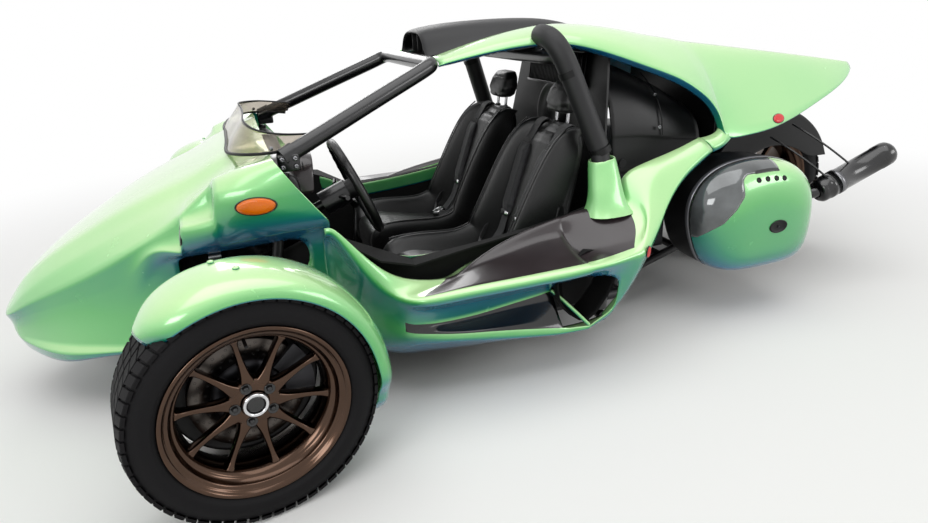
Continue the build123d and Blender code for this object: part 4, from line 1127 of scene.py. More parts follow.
@dataclass(frozen=True)
class TailShell:
    """The two tail rails from the roof's front to the pointed tail, and the deck between them."""

    front_x: float = 206.7
    hoop_x: float = -240.0
    axle_x: float = -1351.0
    wall: float = 5.0
    flange: float = 34.0
    # share of the bay, then y and z of: inner edge, inner shoulder, crest, side, lower edge
    stations: tuple = (
        (-1.00, (214, 994), (222, 1001), (262, 999), (296, 992), (303, 980)),
        (-0.75, (209, 1022), (218, 1032), (262, 1029), (306, 1018), (317, 1002)),
        (-0.48, (205, 1048), (214, 1059), (262, 1056), (318, 1042), (331, 1020)),
        (-0.22, (202, 1066), (212, 1077), (262, 1072), (327, 1054), (343, 1028)),
        (0.00, (200, 1074), (210, 1084), (262, 1078), (337, 1056), (356, 1022)),
        (0.12, (200, 1064), (211, 1073), (266, 1064), (346, 1024), (378, 984)),
        (0.23, (202, 1044), (213, 1053), (270, 1040), (362, 985), (402, 936)),
        (0.33, (204, 1018), (215, 1027), (274, 1010), (372, 944), (424, 896)),
        (0.39, (205, 1006), (216, 1016), (275, 996), (378, 920), (436, 858)),
        (0.44, (206, 996), (217, 1006), (275, 985), (382, 898), (445, 818)),
        (0.466, (207, 989), (218, 999), (274, 976), (385, 880), (452, 786)),
        (0.485, (207, 985), (218, 995), (273, 971), (387, 866), (460, 752)),
        (0.494, (207, 984), (218, 994), (273, 969), (388, 858), (474, 706)),
        (0.502, (207, 982), (218, 992), (272, 967), (388, 850), (486, 666)),
        (0.58, (208, 970), (218, 980), (270, 956), (380, 812), (480, 672)),
        (0.70, (208, 950), (218, 960), (264, 936), (366, 802), (464, 676)),
        (0.84, (207, 928), (216, 937), (256, 914), (346, 800), (425, 704)),
        (0.98, (205, 905), (214, 913), (247, 892), (322, 804), (372, 738)),
        (1.12, (202, 882), (210, 889), (236, 872), (292, 812), (322, 775)),
        (1.23, (199, 864), (206, 869), (222, 858), (250, 826), (262, 808)),
        (1.275, (197, 857), (202, 860), (210, 854), (220, 842), (224, 834)),
    )

    # inner edge, shoulder, crest and lower edge of the hook from the seam back into the flank
    hook: tuple = (
        ((-709, 440, 678), (-713, 478, 670), (-723, 505, 648), (-731, 499, 628)),
        ((-750, 444, 683), (-756, 480, 676), (-764, 503, 657), (-768, 497, 636)),
        ((-780, 446, 694), (-784, 474, 689), (-790, 494, 670), (-794, 492, 648)),
        ((-800, 436, 722), (-806, 452, 714), (-814, 478, 684), (-818, 484, 662)),
        ((-838, 400, 750), (-842, 420, 736), (-850, 452, 700), (-854, 468, 678)),
    )

    def place(self, share: float) -> float:
        """The x of a share: -1 is the roof's front, 0 the hoop and 1 the rear axle.

        Args:
            share: The share.

        Returns:
            The x.
        """
        if share < 0:
            return self.hoop_x - share * (self.front_x - self.hoop_x)
        return self.hoop_x + share * (self.axle_x - self.hoop_x)

    def row(self, share: float, pairs: Sequence[tuple[float, float]]) -> list[Point]:
        """One station: the five given points, and a flange turned in at the lower edge.

        Args:
            share: Where the station stands, as in place.
            pairs: y and z of the five points.

        Returns:
            Seven points.
        """
        x = self.place(share)
        (side_y, side_z), (low_y, low_z) = pairs[3], pairs[4]
        away = Vector((low_y - side_y, low_z - side_z)).normalized()
        turn = Vector((away.y, -away.x)) * self.flange * min(1.0, 1.6 - share)
        inner = (low_y + turn.x * 0.9 - 4, low_z + turn.y * 0.9 + 4)
        return [(x, y, z) for y, z in [*pairs, (low_y - 3, low_z - 5), inner]]

    def build(self) -> Obj:
        """Makes both rails, which meet in the deck.

        Returns:
            The rails.
        """
        parts = []
        for side in Side:
            rows = [mirrored(self.row(share, pairs), side) for share, *pairs in self.stations]
            rail = lattice(f"rail_{side.word}", rows, PAINT, inside=(-600, 200 * side, 500),
                           sharp_columns={1: 0.5, 4: 0.75, 3: 0.15})
            bends = [mirrored(self.bend(*keys), side) for keys in self.hook]
            hook = lattice("hook", bends, PAINT, inside=(-770, 400 * side, 640))
            parts += [walled(rail, self.wall), walled(hook, 4.0)]
        rails = keep_joined("tail_rails", parts, "body_paint", "tail_body")
        self.deck()
        return rails

    def bend(self, inner: Point, shoulder: Point, crest: Point, low: Point) -> list[Point]:
        """One row of the hook, through its four points, with both edges turned in.

        Args:
            inner: The inner edge.
            shoulder: The shoulder.
            crest: The crest.
            low: The lower edge.

        Returns:
            Nine points.
        """
        top = (inner[0], inner[1] - 14, inner[2] - 34)
        upper, lower = spread([inner, shoulder, crest], 5), spread([crest, low], 3)[1:]
        return [top, *upper, *lower, (low[0], low[1] - 22, low[2] + 3)]

    def deck(self) -> None:
        """The sunk deck between the rails, ribbed along its middle."""
        rows = []
        for share in (0.125, 0.24, 0.4, 0.6, 0.8, 1.0, 1.15, 1.222):
            x = self.place(share)
            above = [row for row in self.stations if row[0] <= share][-1]
            after = next(row for row in self.stations if row[0] > share)
            part = (share - above[0]) / (after[0] - above[0])
            z = above[1][1] + (after[1][1] - above[1][1]) * part
            section = ((0, 6), (34, 7), (62, 22), (150, 26), (186, 20), (197, 8))
            rows.append(both_halves([(x, y, z - drop) for y, drop in section]))
        obj = lattice("tail_deck_skin", rows, MATT_SHELL, inside=(-900, 0, 500),
                      sharp_columns={6: 0.4, 4: 0.4, 1: 0.5, 9: 0.5})
        keep(walled(obj), "gloss_black", "tail_deck")


@dataclass(frozen=True)
class RoofScoop:
    """The black air scoop on the roof, with a half round mouth over the front hoop."""

    # x, half width, base z and crown z of each station
    stations: tuple = ((206, 160, 1000, 1074), (200, 176, 1001, 1082), (150, 196, 1008, 1092),
                       (60, 206, 1028, 1100), (-60, 206, 1050, 1104), (-180, 205, 1062, 1104),
                       (-260, 206, 1064, 1100), (-330, 208, 1056, 1086), (-400, 208, 1040, 1062))

    def arch(self, x: float, half: float, base: float, crown: float) -> list[Point]:
        """Half of one arched section, from the middle to the rail.

        Args:
            x: Where the section stands.
            half: Its half width.
            base: The height of its edge.
            crown: The height of its middle.

        Returns:
            Eight points.
        """
        shares = ((0, 1.0), (0.22, 0.99), (0.42, 0.96), (0.6, 0.86), (0.74, 0.62), (0.84, 0.30),
                  (0.93, 0.07), (1.0, 0.0))
        return [(x, half * w, base + (crown - base) * h) for w, h in shares]

    def build(self) -> None:
        """Makes the scoop's shell, its lip and the dark throat."""
        rows = [both_halves(self.arch(*row)) for row in self.stations]
        obj = lattice("roof_scoop_shell", rows, MATT_SHELL, inside=(-100, 0, 700),
                      sharp_rows={0: 0.6}, sharp_columns={2: 0.3, 12: 0.3})
        floor = [[(x - 14, y, 992 + (208 - x) * 0.17) for y in (-190, -95, 0, 95, 190)]
                 for x in (208, 100, -60, -200)]
        throat = lattice("throat", floor, LINER, inside=(0, 0, 700))
        parts = [walled(obj, 5.0), walled(throat, 3.0, 1)]
        for y in (-62, 0, 62):
            parts.append(solid_box("vane", (70, y - 2, 1008), (186, y + 2, 1070), SATIN_BLACK, 1.0))
        keep_joined("roof_scoop_skin", parts, "black_trim", "roof_scoop")


@dataclass(frozen=True)
class EngineCover:
    """The black cover behind the seats: a crowned upper panel and a flat lower one each side."""

    # share of the bay, then y and z of: middle, shoulder, side, panel's foot, lower panel, its foot
    stations: tuple = (
        (0.145, (0, 956), (212, 946), (326, 860), (359, 702), (357, 688), (370, 562)),
        (0.204, (0, 951), (212, 940), (330, 852), (360, 700), (358, 686), (370, 562)),
        (0.27, (0, 930), (214, 918), (338, 834), (362, 694), (360, 680), (370, 562)),
        (0.35, (0, 888), (214, 876), (338, 796), (360, 676), (358, 662), (367, 563)),
        (0.43, (0, 840), (212, 830), (332, 762), (354, 662), (352, 650), (362, 572)),
        (0.497, (0, 792), (210, 782), (322, 732), (348, 652), (346, 642), (356, 584)),
    )

    def build(self) -> None:
        """Makes the cover with its lip, seam and screws."""
        place = TailShell().place
        rows = [both_halves([(place(share), y, z) for y, z in pairs]) for share, *pairs in self.stations]
        cover = lattice("cover", rows, SATIN_BLACK, inside=(-600, 0, 500),
                        sharp_columns={2: 0.8, 1: 0.8, 9: 0.8, 8: 0.8})
        parts = [walled(cover, 5.0)]
        x = place(0.33)
        for side in Side:
            seam = mirrored([(x, 214, 893), (x, 290, 848), (x, 342, 800), (x - 2, 360, 740),
                             (x - 4, 366, 684)], side)
            parts.append(hose("seam", seam, 2.5, RUBBER_TRIM))
            for y, z, tilt in ((328, 826, -40), (368, 714, -8)):
                screw = spun("screw", [(0, 0), (0, 7), (-2.5, 8), (-4, 6), (-4, 3), (-2.5, 2.5),
                                       (-2.5, 0)], STEEL, 16)
                turn = turned(tilt * side, "X") @ turned(0 if side is Side.RIGHT else 180, "Z")
                parts.append(placed(screw, moved(x + 14, y * side, z) @ turn))
        keep_joined("engine_cover_skin", parts, "black_trim", "engine_cover")


@dataclass(frozen=True)
class FrontFender:
    """A steered front mudguard: a crowned strip over the tyre with a rounded front end."""

    side: Side = Side.LEFT
    radius: float = 343.0
    half_width: float = 112.0
    start: float = 49.0
    stop: float = 203.5
    leave: float = 166.0
    roll: float = 44.0

    def section(self, narrow: float) -> list[tuple[float, float]]:
        """Half of the strip's section as width and drop pairs, from the middle.

        Args:
            narrow: The share of the full width.

        Returns:
            The pairs.
        """
        half = self.half_width * narrow
        shares = ((0, 0), (0.3, 1.5), (0.56, 5), (0.76, 12), (0.9, 22), (0.985, 36), (1.0, 52))
        return [(half * w, d) for w, d in shares]

    def build(self, hub: Point, turn: float) -> None:
        """Makes the fender about a wheel's hub.

        Args:
            hub: The wheel's centre.
            turn: How far the wheel is steered, in degrees.
        """
        rows = []
        steps = 26
        for k in range(steps):
            share = k / (steps - 1)
            angle = math.radians(self.start + (self.stop - self.start) * share)
            end = min(share, 1 - share) * (steps - 1)
            narrow = (0.42, 0.74, 0.90, 0.97)[int(end)] if end < 4 else 1.0
            drop = (20, 8, 3, 1)[int(end)] if end < 4 else 0.0
            off = max(0.0, math.degrees(angle) - self.leave)
            reach = self.radius + 0.019 * off ** 2 - drop
            half = [((reach - d) * math.cos(angle), w, (reach - d) * math.sin(angle))
                    for w, d in self.section(narrow)]
            rows.append(both_halves(half))
        obj = lattice("fender", rows, PAINT, inside=(0, 0, 0), sharp_columns={0: 0.5, 12: 0.5})
        parts = [walled(obj, 5.0)]
        for x, y in ((-16, 30), (24, -44)):
            nut = spun("nut", [(0, 0), (0, 8), (3, 8), (5, 5), (5, 0)], PAINT, 20)
            parts.append(stand(nut, (x, y, self.radius - 3), (0, 0, 1), (1, 0, 0)))
        word = self.side.word
        whole = joined(f"front_fender_skin_{word}", parts)
        placed(whole, Matrix.Translation(Vector(hub)) @ turned(turn, "Z"))
        keep(whole, "body_paint", f"front_fender_{word}", body=f"steer_{word}")


@dataclass(frozen=True)
class SideCases:
    """The helmet shaped side cases: fixed inner shells and hinged lids with a visor band."""

    centre: tuple[float, float] = (-871.0, 395.0)
    half_length: float = 280.0
    half_height: float = 205.0
    inner_y: float = 331.0
    split_y: float = 520.0
    outer_y: float = 638.0
    corners: tuple = ((-0.30, -1.03), (-0.76, -1.02), (-1.01, -0.78), (-1.04, -0.14), (-0.99, 0.40),
                      (-0.73, 0.83), (-0.30, 0.985), (0.14, 0.985), (0.53, 0.88), (0.80, 0.58),
                      (0.89, 0.16), (0.80, -0.36), (0.62, -0.90), (0.27, -1.04))
    # distance out from the split and scale of each ring of the lid
    dome: tuple = ((1.5, 0.93), (1.5, 0.985), (3, 1.0), (24, 0.995), (52, 0.955), (80, 0.865),
                   (101, 0.72), (114, 0.5), (118, 0.24))
    # x and z of the visor band's outer and inner edge, from its low front end over the top
    visor: tuple = ((-648, 338, -650, 344), (-630, 400, -702, 402), (-622, 470, -744, 448),
                    (-650, 540, -776, 494), (-720, 580, -780, 546), (-770, 590, -800, 560),
                    (-830, 598, -836, 562), (-940, 596, -938, 564))

    def ring(self, y: float, scale: float, side: Side) -> list[Point]:
        """The case's outline at a distance from the car's middle.

        Args:
            y: The distance.
            scale: How large the outline is there.
            side: The car's side.

        Returns:
            The points.
        """
        points = []
        for u, v in self.corners:
            wide = scale ** 0.7 if u < 0 else scale
            tall = scale ** 0.45 if v < 0 else scale
            points.append((self.centre[0] + u * wide * self.half_length, y,
                           self.centre[1] + v * tall * self.half_height))
        return mirrored(points, side)

    def onto(self, dome: Obj, x: float, z: float, side: Side) -> tuple[Vector, Vector]:
        """The place on the dome's outer side at an x and z, and the way it faces there.

        Args:
            dome: The lid's dome.
            x: The x.
            z: The z.
            side: The car's side.

        Returns:
            The place, in millimetres, and the direction.
        """
        start = Vector((x, 900 * side, z)) * MM
        hit, place, normal, _ = evaluated(dome).ray_cast(start, Vector((0, -side, 0)))
        return (place / MM, normal) if hit else surface(dome, (x, 560 * side, z))

    def patch(self, name: str, edges: Sequence[tuple], finish: Finish, dome: Obj, side: Side,
              rim: bool = False) -> Obj:
        """A thin plate that follows the lid's dome between two edges.

        Args:
            name: The piece's name.
            edges: x and z of the outer and the inner edge, station by station.
            finish: The plate's finish.
            dome: The lid's dome.
            side: The car's side.
            rim: Whether the outer edge lies at the lid's rim.

        Returns:
            The plate.
        """
        hub = Vector((self.centre[0], self.split_y * side, self.centre[1]))
        inners = [tuple(self.onto(dome, x, z, side)[0] - hub) for _, _, x, z in edges]
        outers = [tuple((Vector((x, (self.split_y + 5) * side, z)) if rim
                         else self.onto(dome, x, z, side)[0]) - hub) for x, z, _, _ in edges]
        shape = evaluated(dome)
        rows = []
        for outer, inner in zip(spread(outers, 40), spread(inners, 40)):
            start, end = Vector(outer).normalized(), Vector(inner).normalized()
            row = []
            for k in range(15):
                aim = start.lerp(end, k / 14).normalized()
                place = shape.ray_cast(hub * MM, aim)[1] / MM
                row.append(tuple(place + aim * (0.4 if k in (0, 14) else 2.4)))
            rows.append(row)
        return walled(lattice(name, rows, finish, inside=hub), 2.0, 0)

    def shells(self) -> None:
        """Both inner shells, each with a pale rim at its front edge, painted as the highlight along that
        edge.
        """
        back, split = self.inner_y, self.split_y
        shell = ((back, 0.5), (back, 0.80), (back + 10, 0.93), (back + 40, 0.985), (split - 34, 1.0),
                 (split - 3, 1.0), (split - 2, 0.985), (split - 2, 0.9))
        # The pale rim ring is a painted highlight along the shell's edge
        rim = ((split - 20, 0.998), (split - 17, 1.012), (split - 5, 1.012), (split - 2, 0.998))
        parts = []
        for side in Side:
            for name, rings, finish in (("shell", shell, SATIN_BLACK), ("rim", rim, PAINTED_HIGHLIGHT_SILVER)):
                rows = [self.ring(y, scale, side) for y, scale in rings]
                parts.append(rounded(lattice(name, rows, finish, ring=True, caps=name == "shell")))
        keep_joined("case_inner_shells", parts, "body_paint", "case_shells")

    def lid(self, side: Side) -> None:
        """One lid with its visor band, slot, four vents, lock and hinge barrels.

        Args:
            side: The car's side.
        """
        rings = [self.ring(self.split_y + out, scale, side) for out, scale in self.dome]
        dome = edit(lattice("dome", rings, PAINT, ring=True), self.close_last)
        slot = ((-834, 569, -834, 560), (-870, 571, -870, 561), (-905, 571, -905, 561),
                (-938, 568, -938, 559))
        parts = [rounded(dome), self.patch("visor", self.visor, SMOKED, dome, side, rim=True),
                 self.patch("slot", slot, GLOSS_BLACK, dome, side)]
        for x, z in ((-838, 541), (-876, 541), (-915, 539), (-951, 535)):
            ring = spun("vent", [(0.6, 0), (0.6, 6), (1.6, 7), (2.4, 8.5), (1, 10), (-2, 10)],
                        RUBBER_TRIM, 22)
            parts.append(stand(ring, *self.onto(dome, x, z, side), (1, 0, 0)))
        lock = spun("lock", [(-4, 12.0), (3, 12.0), (4.5, 11.5), (4.5, 10.5), (2, 9.6), (1, 5), (1, 0)],
                    RUBBER_TRIM, 48)
        key = spun("key_way", [(1, 4.0), (3.5, 4.0), (4.5, 3.2), (4.5, 0)], DARK_STEEL, 24)
        lock.data.transform(Matrix.Diagonal((3.3, 1, 2.0, 1)))
        for piece in (lock, key):
            parts.append(stand(piece, *self.onto(dome, -933, 363, side), (1, 0, 0)))
        y, z = self.split_y * side, self.centre[1] - self.half_height - 6
        for x in (self.centre[0] - 125, self.centre[0] - 35):
            parts.append(rod("barrel", (x - 14, y, z), (x + 14, y, z), 6, DARK_STEEL))
        node = f"case_lid_{side.word}"
        keep_joined(f"case_lid_skin_{side.word}", parts, "body_paint", node, body=node)

    @staticmethod
    def close_last(bm: Mesh) -> None:
        """Closes the hole in the middle of the dome and makes the faces look out.

        Args:
            bm: The mesh to change.
        """
        edges = [e for e in bm.edges if e.is_boundary]
        far = max(abs(e.verts[0].co.y) for e in edges)
        last = [e for e in edges if abs(abs(e.verts[0].co.y) - far) < 1e-5]
        bmesh.ops.contextual_create(bm, geom=last)
        face_out(bm)

    def build(self) -> None:
        """Makes both cases."""
        self.shells()
        for side in Side:
            self.lid(side)


@dataclass(frozen=True)
class Windscreen:
    """The low clear screen: a curved pane with a black gasket and two bolted side panes."""

    # base x, y, z and top x, y, z of the left half, from the middle round to the rear
    edge: tuple = (
        (878, 0, 783, 812, 0, 862), (876, 120, 781, 812, 112, 861), (884, 220, 771, 820, 208, 859),
        (878, 320, 778, 812, 302, 853), (848, 405, 787, 786, 382, 845), (806, 452, 791, 746, 424, 840),
        (768, 458, 792, 704, 428, 834), (706, 440, 790, 662, 414, 829), (642, 412, 783, 618, 392, 824),
    )

    def build(self) -> None:
        """Makes the pane, its gasket and the trim along its top."""
        lows = both_halves([(x, y, z) for x, y, z, *_ in self.edge])
        highs = both_halves([tuple(row[3:]) for row in self.edge])
        rows = []
        for share in (0, 0.33, 0.67, 1.0):
            rows.append([tuple(a + (b - a) * share for a, b in zip(low, high))
                         for low, high in zip(lows, highs)])
        pane = lattice("pane", rows, SCREEN, inside=(600, 0, 800))
        parts = [walled(pane, 3.5), hose("gasket", [(x, y, z + 2) for x, y, z in lows], 4.5, RUBBER_TRIM),
                 hose("top_trim", highs, 3, RUBBER_TRIM)]
        for side in Side:
            for x, y, z, *_ in self.edge[6:]:
                screw = spun("screw", [(0, 0), (0, 6), (2, 6), (3.5, 3), (3.5, 0)], STEEL, 14)
                turn = turned(0 if side is Side.LEFT else 180, "Z")
                parts.append(placed(screw, moved(x - 8, (y + 1) * side, z + 14) @ turn))
        keep_joined("windscreen_pane", parts, "screen", "windscreen")


# Soft pieces


def inflated(obj: Obj, swell: float, voxel: float = 6.0, pressure: float = 4.0) -> Obj:
    """Fills a closed pad by cloth simulation, so that it crowns between its edges.

    Args:
        obj: The pad's closed starting shape; it is used up.
        swell: How far a point may move, in millimetres.
        voxel: The remesh size, in millimetres.
        pressure: The pressure inside.

    Returns:
        A plain mesh object.
    """
    even = obj.modifiers.new("even", "REMESH")
    even.mode = "VOXEL"
    even.voxel_size = voxel * MM
    pad = settled(obj)
    pad.data.shade_smooth()
    scene = bpy.context.scene
    cloth = pad.modifiers.new("cloth", "CLOTH")
    cloth.settings.use_pressure = True
    cloth.settings.uniform_pressure_force = pressure
    cloth.settings.effector_weights.gravity = 0.0
    cloth.point_cache.frame_start = 1
    cloth.point_cache.frame_end = 20
    for number in range(1, 21):
        scene.frame_set(number)
    filled = pad.evaluated_get(bpy.context.evaluated_depsgraph_get())
    places = [v.co.copy() for v in filled.data.vertices]
    pad.modifiers.remove(cloth)
    for vertex, place in zip(pad.data.vertices, places):
        move = place - vertex.co
        if move.length > swell * MM:
            move *= swell * MM / move.length
        vertex.co += move
    scene.frame_set(1)
    return pad


def sewn(pad: Obj, lines: Sequence[Sequence[Point]], depth: float, width: float) -> Obj:
    """Presses sewn channels into a pad along lines of points, towards the pad's middle.

    Args:
        pad: The pad.
        lines: The seams' lines.
        depth: How deep a seam lies.
        width: How far from a seam the pad is drawn in.

    Returns:
        The same object.
    """
    knots = [Vector(p) * MM for line in lines for p in spread(line, 40)]
    middle = sum((v.co for v in pad.data.vertices), Vector()) / len(pad.data.vertices)
    for vertex in pad.data.vertices:
        near = min((vertex.co - knot).length for knot in knots)
        push = depth * MM * math.exp(-(near / (width * MM)) ** 2)
        vertex.co += (middle - vertex.co).normalized() * push
    return pad


def keep_padded(pad: Obj, name: str, slot: str, fill: float, *nodes: str) -> None:
    """Names a filled pad, rounds it once and keeps it.

    Args:
        pad: The pad.
        name: The piece's name.
        slot: The record's material slot.
        fill: How full it is, from 0 to 1; not used.
        nodes: The CAD nodes that it stands for.
    """
    pad.name = pad.data.name = name
    keep(rounded(pad, 1), slot, *nodes)


def surface(host: Obj, near: Point) -> tuple[Vector, Vector]:
    """The nearest point of a piece's finished surface, in millimetres, and the way it faces."""
    _, place, normal, _ = evaluated(host).closest_point_on_mesh(Vector(near) * MM)
    return place / MM, normal


def stand(piece: Obj, place: Point, normal: Point, across: Point = (0, 1, 0)) -> Obj:
    """Stands a piece made about the Y axis on a place.

    Args:
        piece: The piece.
        place: Where its origin goes.
        normal: Where its Y axis points.
        across: Near where its X axis points.

    Returns:
        The same object.
    """
    out, over = Vector(normal), Vector(across)
    side = (over - out * over.dot(out)).normalized()
    turn = Matrix((side, out, side.cross(out))).transposed().to_4x4()
    return placed(piece, moved(*place) @ turn)


# Repeated pieces by geometry nodes


@dataclass(frozen=True)
class NodeTree:
    """A geometry node tree with named inputs, run on a carrier and turned into a plain mesh."""

    name: str
    finish: Finish
    inputs: dict[str, tuple[str, object]]

    def begin(self) -> tuple[Tree, dict]:
        """Makes the tree with its sockets.

        Returns:
            The tree, and the outputs of its group input.
        """
        tree = bpy.data.node_groups.new(self.name + "_nodes", "GeometryNodeTree")
        for way in ("INPUT", "OUTPUT"):
            tree.interface.new_socket("Geometry", in_out=way, socket_type="NodeSocketGeometry")
        for label, (kind, _) in self.inputs.items():
            tree.interface.new_socket(label, in_out="INPUT", socket_type="NodeSocket" + kind)
        return tree, add_node(tree, "NodeGroupInput").outputs

    def copies(self, tree: Tree, given: dict, points: Node, turn: Node) -> Node:
        """Adds copies of the input Piece.

        Args:
            tree: The tree.
            given: The outputs of its group input.
            points: Where they stand.
            turn: How each is turned.

        Returns:
            The node that makes them.
        """
        info = add_node(tree, "GeometryNodeObjectInfo", {"Object": given["Piece"]}).outputs["Geometry"]
        links = {"Points": points, "Instance": info, "Rotation": turn}
        return add_node(tree, "GeometryNodeInstanceOnPoints", links)

    def run(self, tree: Tree, geometry: Node, carrier: Obj) -> Obj:
        """Ends the tree with instances realized and the finish set, and runs it.

        Args:
            tree: The tree.
            geometry: The node that gives what it makes.
            carrier: The object that it runs on; it is used up.

        Returns:
            A plain mesh object.
        """
        real = add_node(tree, "GeometryNodeRealizeInstances", {"Geometry": geometry})
        material = self.finish.build()
        dressed = add_node(tree, "GeometryNodeSetMaterial", {"Geometry": real, "Material": material})
        add_node(tree, "NodeGroupOutput", {"Geometry": dressed})
        modifier = carrier.modifiers.new("nodes", "NODES")
        modifier.node_group = tree
        for item in tree.interface.items_tree:
            if item.in_out == "INPUT" and item.name in self.inputs:
                modifier[item.identifier] = self.inputs[item.name][1]
        result = settled(carrier)
        result.data.materials.clear()
        result.data.materials.append(material)
        return result


def turned_array(name: str, piece: Obj, count: int, finish: Finish, phase: float = 0.0) -> Obj:
    """Repeats a piece round the Y axis by geometry nodes.

    Args:
        name: The result's name.
        piece: What is repeated; it is used up.
        count: How many there are.
        finish: Their finish.
        phase: The first one's angle, in radians.

    Returns:
        A plain mesh object.
    """
    inputs = {"Piece": ("Object", piece), "Count": ("Int", count), "Phase": ("Float", phase)}
    kit = NodeTree(name, finish, inputs)
    tree, given = kit.begin()
    points = add_node(tree, "GeometryNodePoints", {"Count": given["Count"]})
    number = add_node(tree, "GeometryNodeInputIndex")
    step = add_node(tree, "ShaderNodeMath", {0: 2 * math.pi, 1: given["Count"]}, operation="DIVIDE")
    angle = add_node(tree, "ShaderNodeMath", {0: number, 1: step, 2: given["Phase"]},
                     operation="MULTIPLY_ADD")
    turn = add_node(tree, "ShaderNodeCombineXYZ", {"Y": angle})
    result = kit.run(tree, kit.copies(tree, given, points, turn), mesh_object(name, [], []))
    bpy.data.objects.remove(piece)
    return result


def row_along(name: str, path: Sequence[Point], piece: Obj, spacing: float, finish: Finish) -> Obj:
    """Repeats a piece at a spacing along a path, its X along the path, by geometry nodes.

    Args:
        name: The result's name.
        path: Points of the path, in millimetres.
        piece: What is repeated; it is used up.
        spacing: The distance between two, in millimetres.
        finish: Their finish.

    Returns:
        A plain mesh object.
    """
    kit = NodeTree(name, finish, {"Piece": ("Object", piece), "Spacing": ("Float", spacing * MM)})
    tree, given = kit.begin()
    line = add_node(tree, "GeometryNodeMeshToCurve", {"Mesh": given["Geometry"]})
    even = add_node(tree, "GeometryNodeResampleCurve", {"Curve": line, "Length": given["Spacing"]},
                    mode="LENGTH")
    along = add_node(tree, "GeometryNodeInputTangent")
    aim = add_node(tree, "FunctionNodeAlignRotationToVector", {"Vector": along}, axis="X")
    carrier = mesh_object(name, path, [], edges=[(i, i + 1) for i in range(len(path) - 1)])
    result = kit.run(tree, kit.copies(tree, given, even, aim), carrier)
    bpy.data.objects.remove(piece)
    return result


def coil(name: str, low: Point, high: Point, radius: float, wire: float, turns: float,
         finish: Finish) -> Obj:
    """A coil spring between two points, by geometry nodes.

    Args:
        name: Its name.
        low: The middle of its lower end, in millimetres.
        high: The middle of its upper end.
        radius: From its axis to the wire's middle.
        wire: Half the wire's thickness.
        turns: How many turns it has.
        finish: Its finish.

    Returns:
        A plain mesh object, in place.
    """
    axis = Vector(high) - Vector(low)
    sizes = {"Turns": turns, "Radius": radius * MM, "Height": axis.length * MM, "Wire": wire * MM}
    kit = NodeTree(name, finish, {label: ("Float", size) for label, size in sizes.items()})
    tree, given = kit.begin()
    spiral = add_node(tree, "GeometryNodeCurveSpiral", {
        "Resolution": 18, "Rotations": given["Turns"], "Start Radius": given["Radius"],
        "End Radius": given["Radius"], "Height": given["Height"]})
    section = add_node(tree, "GeometryNodeCurvePrimitiveCircle", {"Resolution": 10, "Radius": given["Wire"]})
    tube = add_node(tree, "GeometryNodeCurveToMesh",
                    {"Curve": spiral, "Profile Curve": section, "Fill Caps": True})
    shaded = add_node(tree, "GeometryNodeSetShadeSmooth", {"Geometry": tube})
    turn = Vector((0, 0, 1)).rotation_difference(axis).to_matrix().to_4x4()
    return placed(kit.run(tree, shaded, mesh_object(name, [], [])), moved(*low) @ turn)


# Wheels


